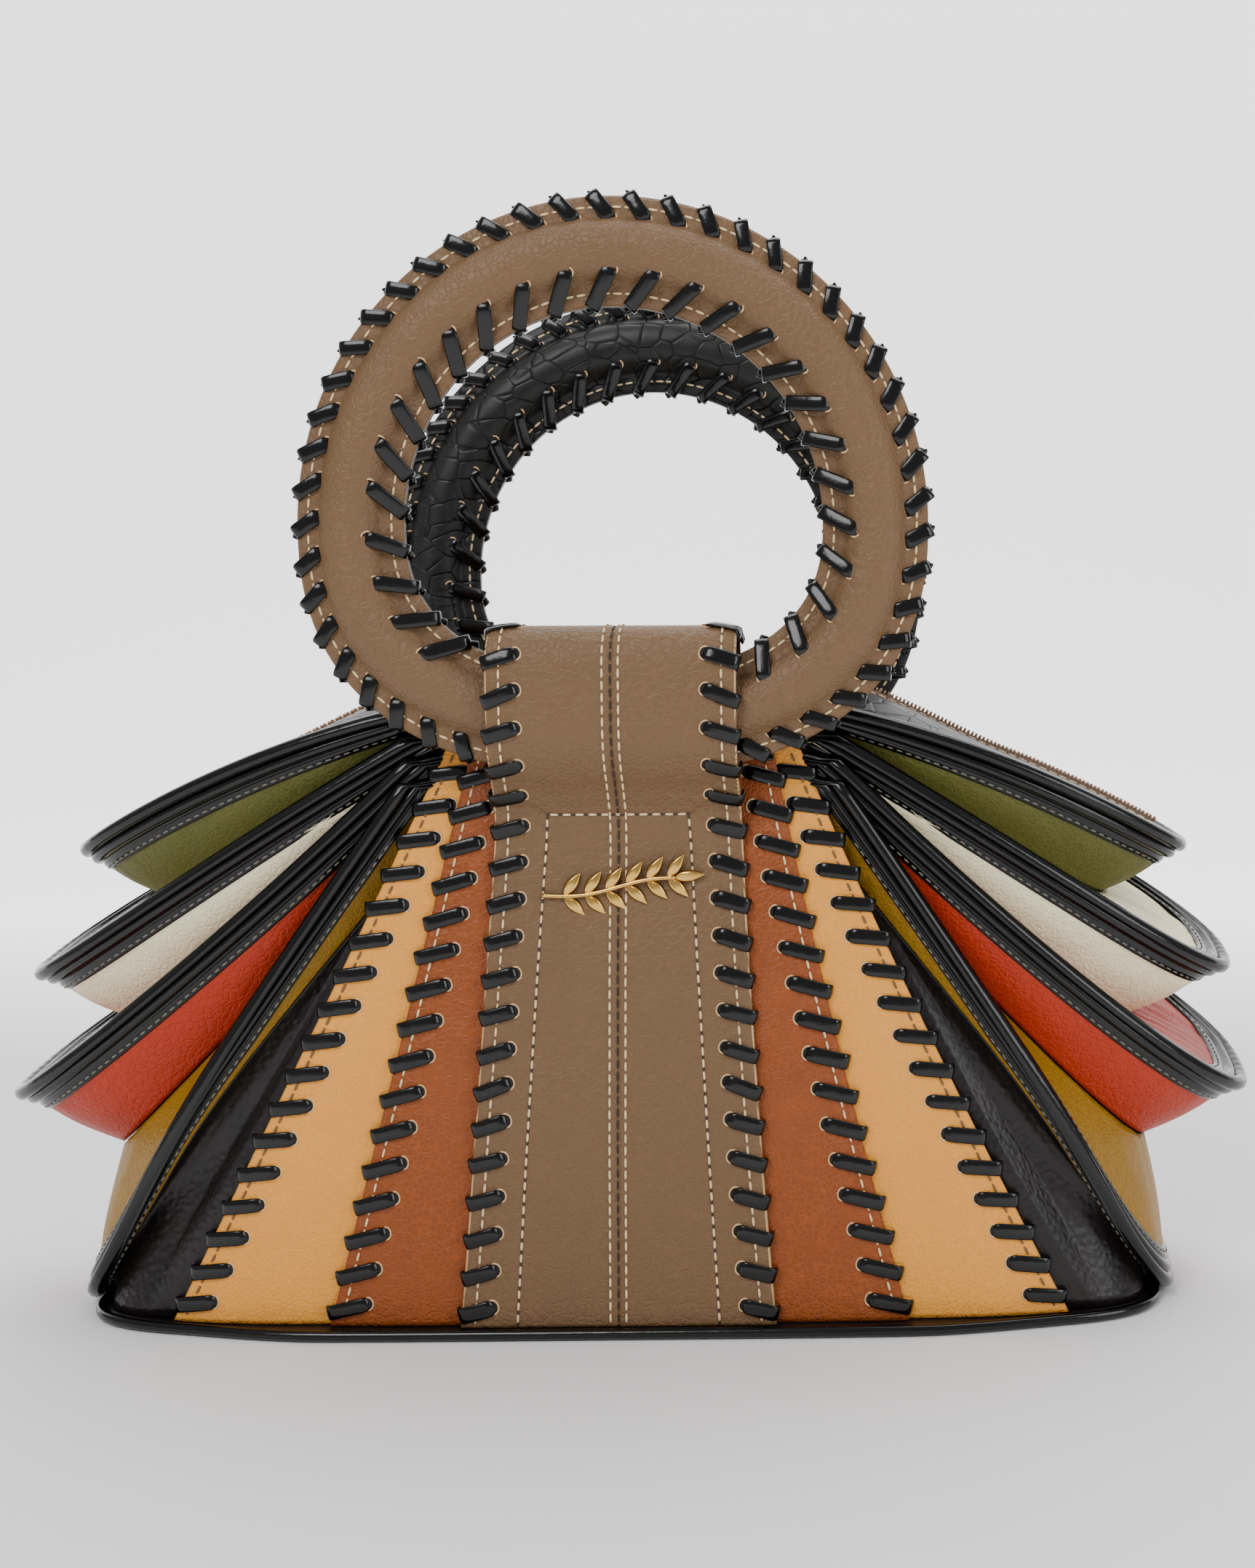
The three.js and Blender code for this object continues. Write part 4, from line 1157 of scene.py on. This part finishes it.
def build_stage():
    material = plain("stage", (0.9, 0.9, 0.9, 1.0), 0.9)
    shader = next(n for n in material.node_tree.nodes if n.type == "BSDF_PRINCIPLED")
    shader.inputs["Specular IOR Level"].default_value = 0.0
    tree = material.node_tree
    place = tree.nodes.new("ShaderNodeSeparateXYZ")
    tree.links.new(object_coord(tree), place.inputs["Vector"])
    glow = ramp(tree, place.outputs["Y"], [(0.35, grey(0.0)), (0.95, grey(1.0))])
    tree.links.new(glow, shader.inputs["Emission Color"])
    shader.inputs["Emission Strength"].default_value = 1.5
    profile = [(-3.0, 0.0), (1.2, 0.0)]
    profile += [(1.2 + 1.5 * math.sin(a), 1.5 - 1.5 * math.cos(a)) for a in np.linspace(0.1, math.pi / 2, 16)]
    profile += [(2.7, 5.0)]
    verts = [(x, y, z) for y, z in profile for x in (-6.0, 6.0)]
    faces = [(2 * i, 2 * i + 1, 2 * i + 3, 2 * i + 2) for i in range(len(profile) - 1)]
    mesh = bpy.data.meshes.new("stage")
    mesh.from_pydata(verts, [], faces)
    mesh.materials.append(material)
    mesh.polygons.foreach_set("use_smooth", np.full(len(mesh.polygons), True))
    floor = bpy.data.objects.new("stage", mesh)
    bpy.context.scene.collection.objects.link(floor)


def area_light(name, place, aim, size, power):
    data = bpy.data.lights.new(name, "AREA")
    data.shape = "RECTANGLE"
    data.size, data.size_y = size
    data.energy = power
    light = bpy.data.objects.new(name, data)
    light.location = place
    light.rotation_euler = (Vector(aim) - Vector(place)).to_track_quat("-Z", "Y").to_euler()
    bpy.context.scene.collection.objects.link(light)


def build_lights():
    world = bpy.data.worlds.new("studio")
    world.use_nodes = True
    world.node_tree.nodes["Background"].inputs["Color"].default_value = (1.0, 1.0, 1.0, 1.0)
    world.node_tree.nodes["Background"].inputs["Strength"].default_value = 0.4
    bpy.context.scene.world = world
    aim = (0.0, 0.0, 0.15)
    area_light("key", (-0.6, -1.2, 1.3), aim, (0.8, 0.8), 17)
    area_light("fill", (1.2, -0.9, 0.7), aim, (0.6, 0.9), 8)
    area_light("over", (0.1, 0.3, 1.5), aim, (1.4, 0.8), 15)


# Camera: the photo is PHOTO_WIDTH by PHOTO_HEIGHT pixels
PHOTO_WIDTH, PHOTO_HEIGHT = 1725, 2156
CAMERA_PLACE = (0.0864, -0.6306, 0.2149)
CAMERA_YAW, CAMERA_PITCH, CAMERA_ROLL = -0.0162, 0.0273, -0.0041
FOCAL_PIXELS = 2415.0
CENTRE_PIXEL = (1248.6, 999.9)


def build_camera():
    forward = Vector((-math.sin(CAMERA_YAW) * math.cos(CAMERA_PITCH), math.cos(CAMERA_YAW) * math.cos(CAMERA_PITCH),
                      -math.sin(CAMERA_PITCH)))
    right = forward.cross(Vector((0, 0, 1))).normalized()
    up = right.cross(forward)
    turned_right = right * math.cos(CAMERA_ROLL) + up * math.sin(CAMERA_ROLL)
    turned_up = up * math.cos(CAMERA_ROLL) - right * math.sin(CAMERA_ROLL)
    data = bpy.data.cameras.new("photo_camera")
    data.sensor_fit = "VERTICAL"
    data.sensor_height = 36.0
    data.lens = 36.0 * FOCAL_PIXELS / PHOTO_HEIGHT
    data.shift_x = (PHOTO_WIDTH / 2 - CENTRE_PIXEL[0]) / PHOTO_HEIGHT
    data.shift_y = (CENTRE_PIXEL[1] - PHOTO_HEIGHT / 2) / PHOTO_HEIGHT
    data.clip_start = 0.01
    camera = bpy.data.objects.new("photo_camera", data)
    rotation = Matrix((turned_right, turned_up, -forward)).transposed()
    camera.matrix_world = Matrix.Translation(CAMERA_PLACE) @ rotation.to_4x4()
    bpy.context.scene.collection.objects.link(camera)
    bpy.context.scene.camera = camera


# Build

for face, label in ((FRONT, "front"), (BACK, "back")):
    outer_half = ring_half(f"{label}_ring_outer_leather", face, 1, TAUPE)
    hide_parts(f"{label}_ring_outer_face")
    inner_half = ring_half(f"{label}_ring_inner_leather", face, -1, SCALES)
    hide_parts(f"{label}_ring_inner_face")
    ring_laces(face)
    ring_stitches(face)
    strap(face)
    strap_trim(face)
    top_half(face)
    panel_laces, panel_stitches = Many(), Many()
    for side in (LEFT, RIGHT):
        side_panel("rust", RUST, strap_edge, side, face, [RUST_LEATHER, RUST_EDGE])
        side_panel("tan", TAN, lambda z: panel_edge(RUST, z), side, face, [TAN_LEATHER, TAN_EDGE])
        panel_trim(RUST, strap_edge, face, side, 3.2, 0, panel_laces, panel_stitches)
        panel_trim(TAN, lambda z: panel_edge(RUST, z), face, side, 1.4, 1, panel_laces, panel_stitches)
    panel_laces.build(f"{label}_panel_laces", [PATENT, HOLE_RIM, PAINTED_HOLE_SHADE])
    panel_stitches.build(f"{label}_panel_stitches", [LIGHT_THREAD, BROWN_THREAD])

for side, hand in ((LEFT, "left"), (RIGHT, "right")):
    fold(f"green_leather_{hand}", None, "ridge1", "valley1", side, GREEN, f"green_leaf_{hand}", 1)
    fold(f"cream_leather_{hand}", "valley1", "ridge2", "valley2", side, CREAM, f"cream_fold_{hand}",
         2)
    fold(f"red_leather_{hand}", "valley2", "ridge3", "valley3", side, RED, f"red_fold_{hand}", 3)
    fold(f"mustard_leather_{hand}", "valley3", "ridge4", "valley4", side, MUSTARD, f"mustard_fold_{hand}",
         4)
    lower_gusset(side)
    for number in (1, 2, 3, 4):
        binding(number, side)

zip_closure()
base_pieces()
ornament()
build_stage()
build_lights()
build_camera()
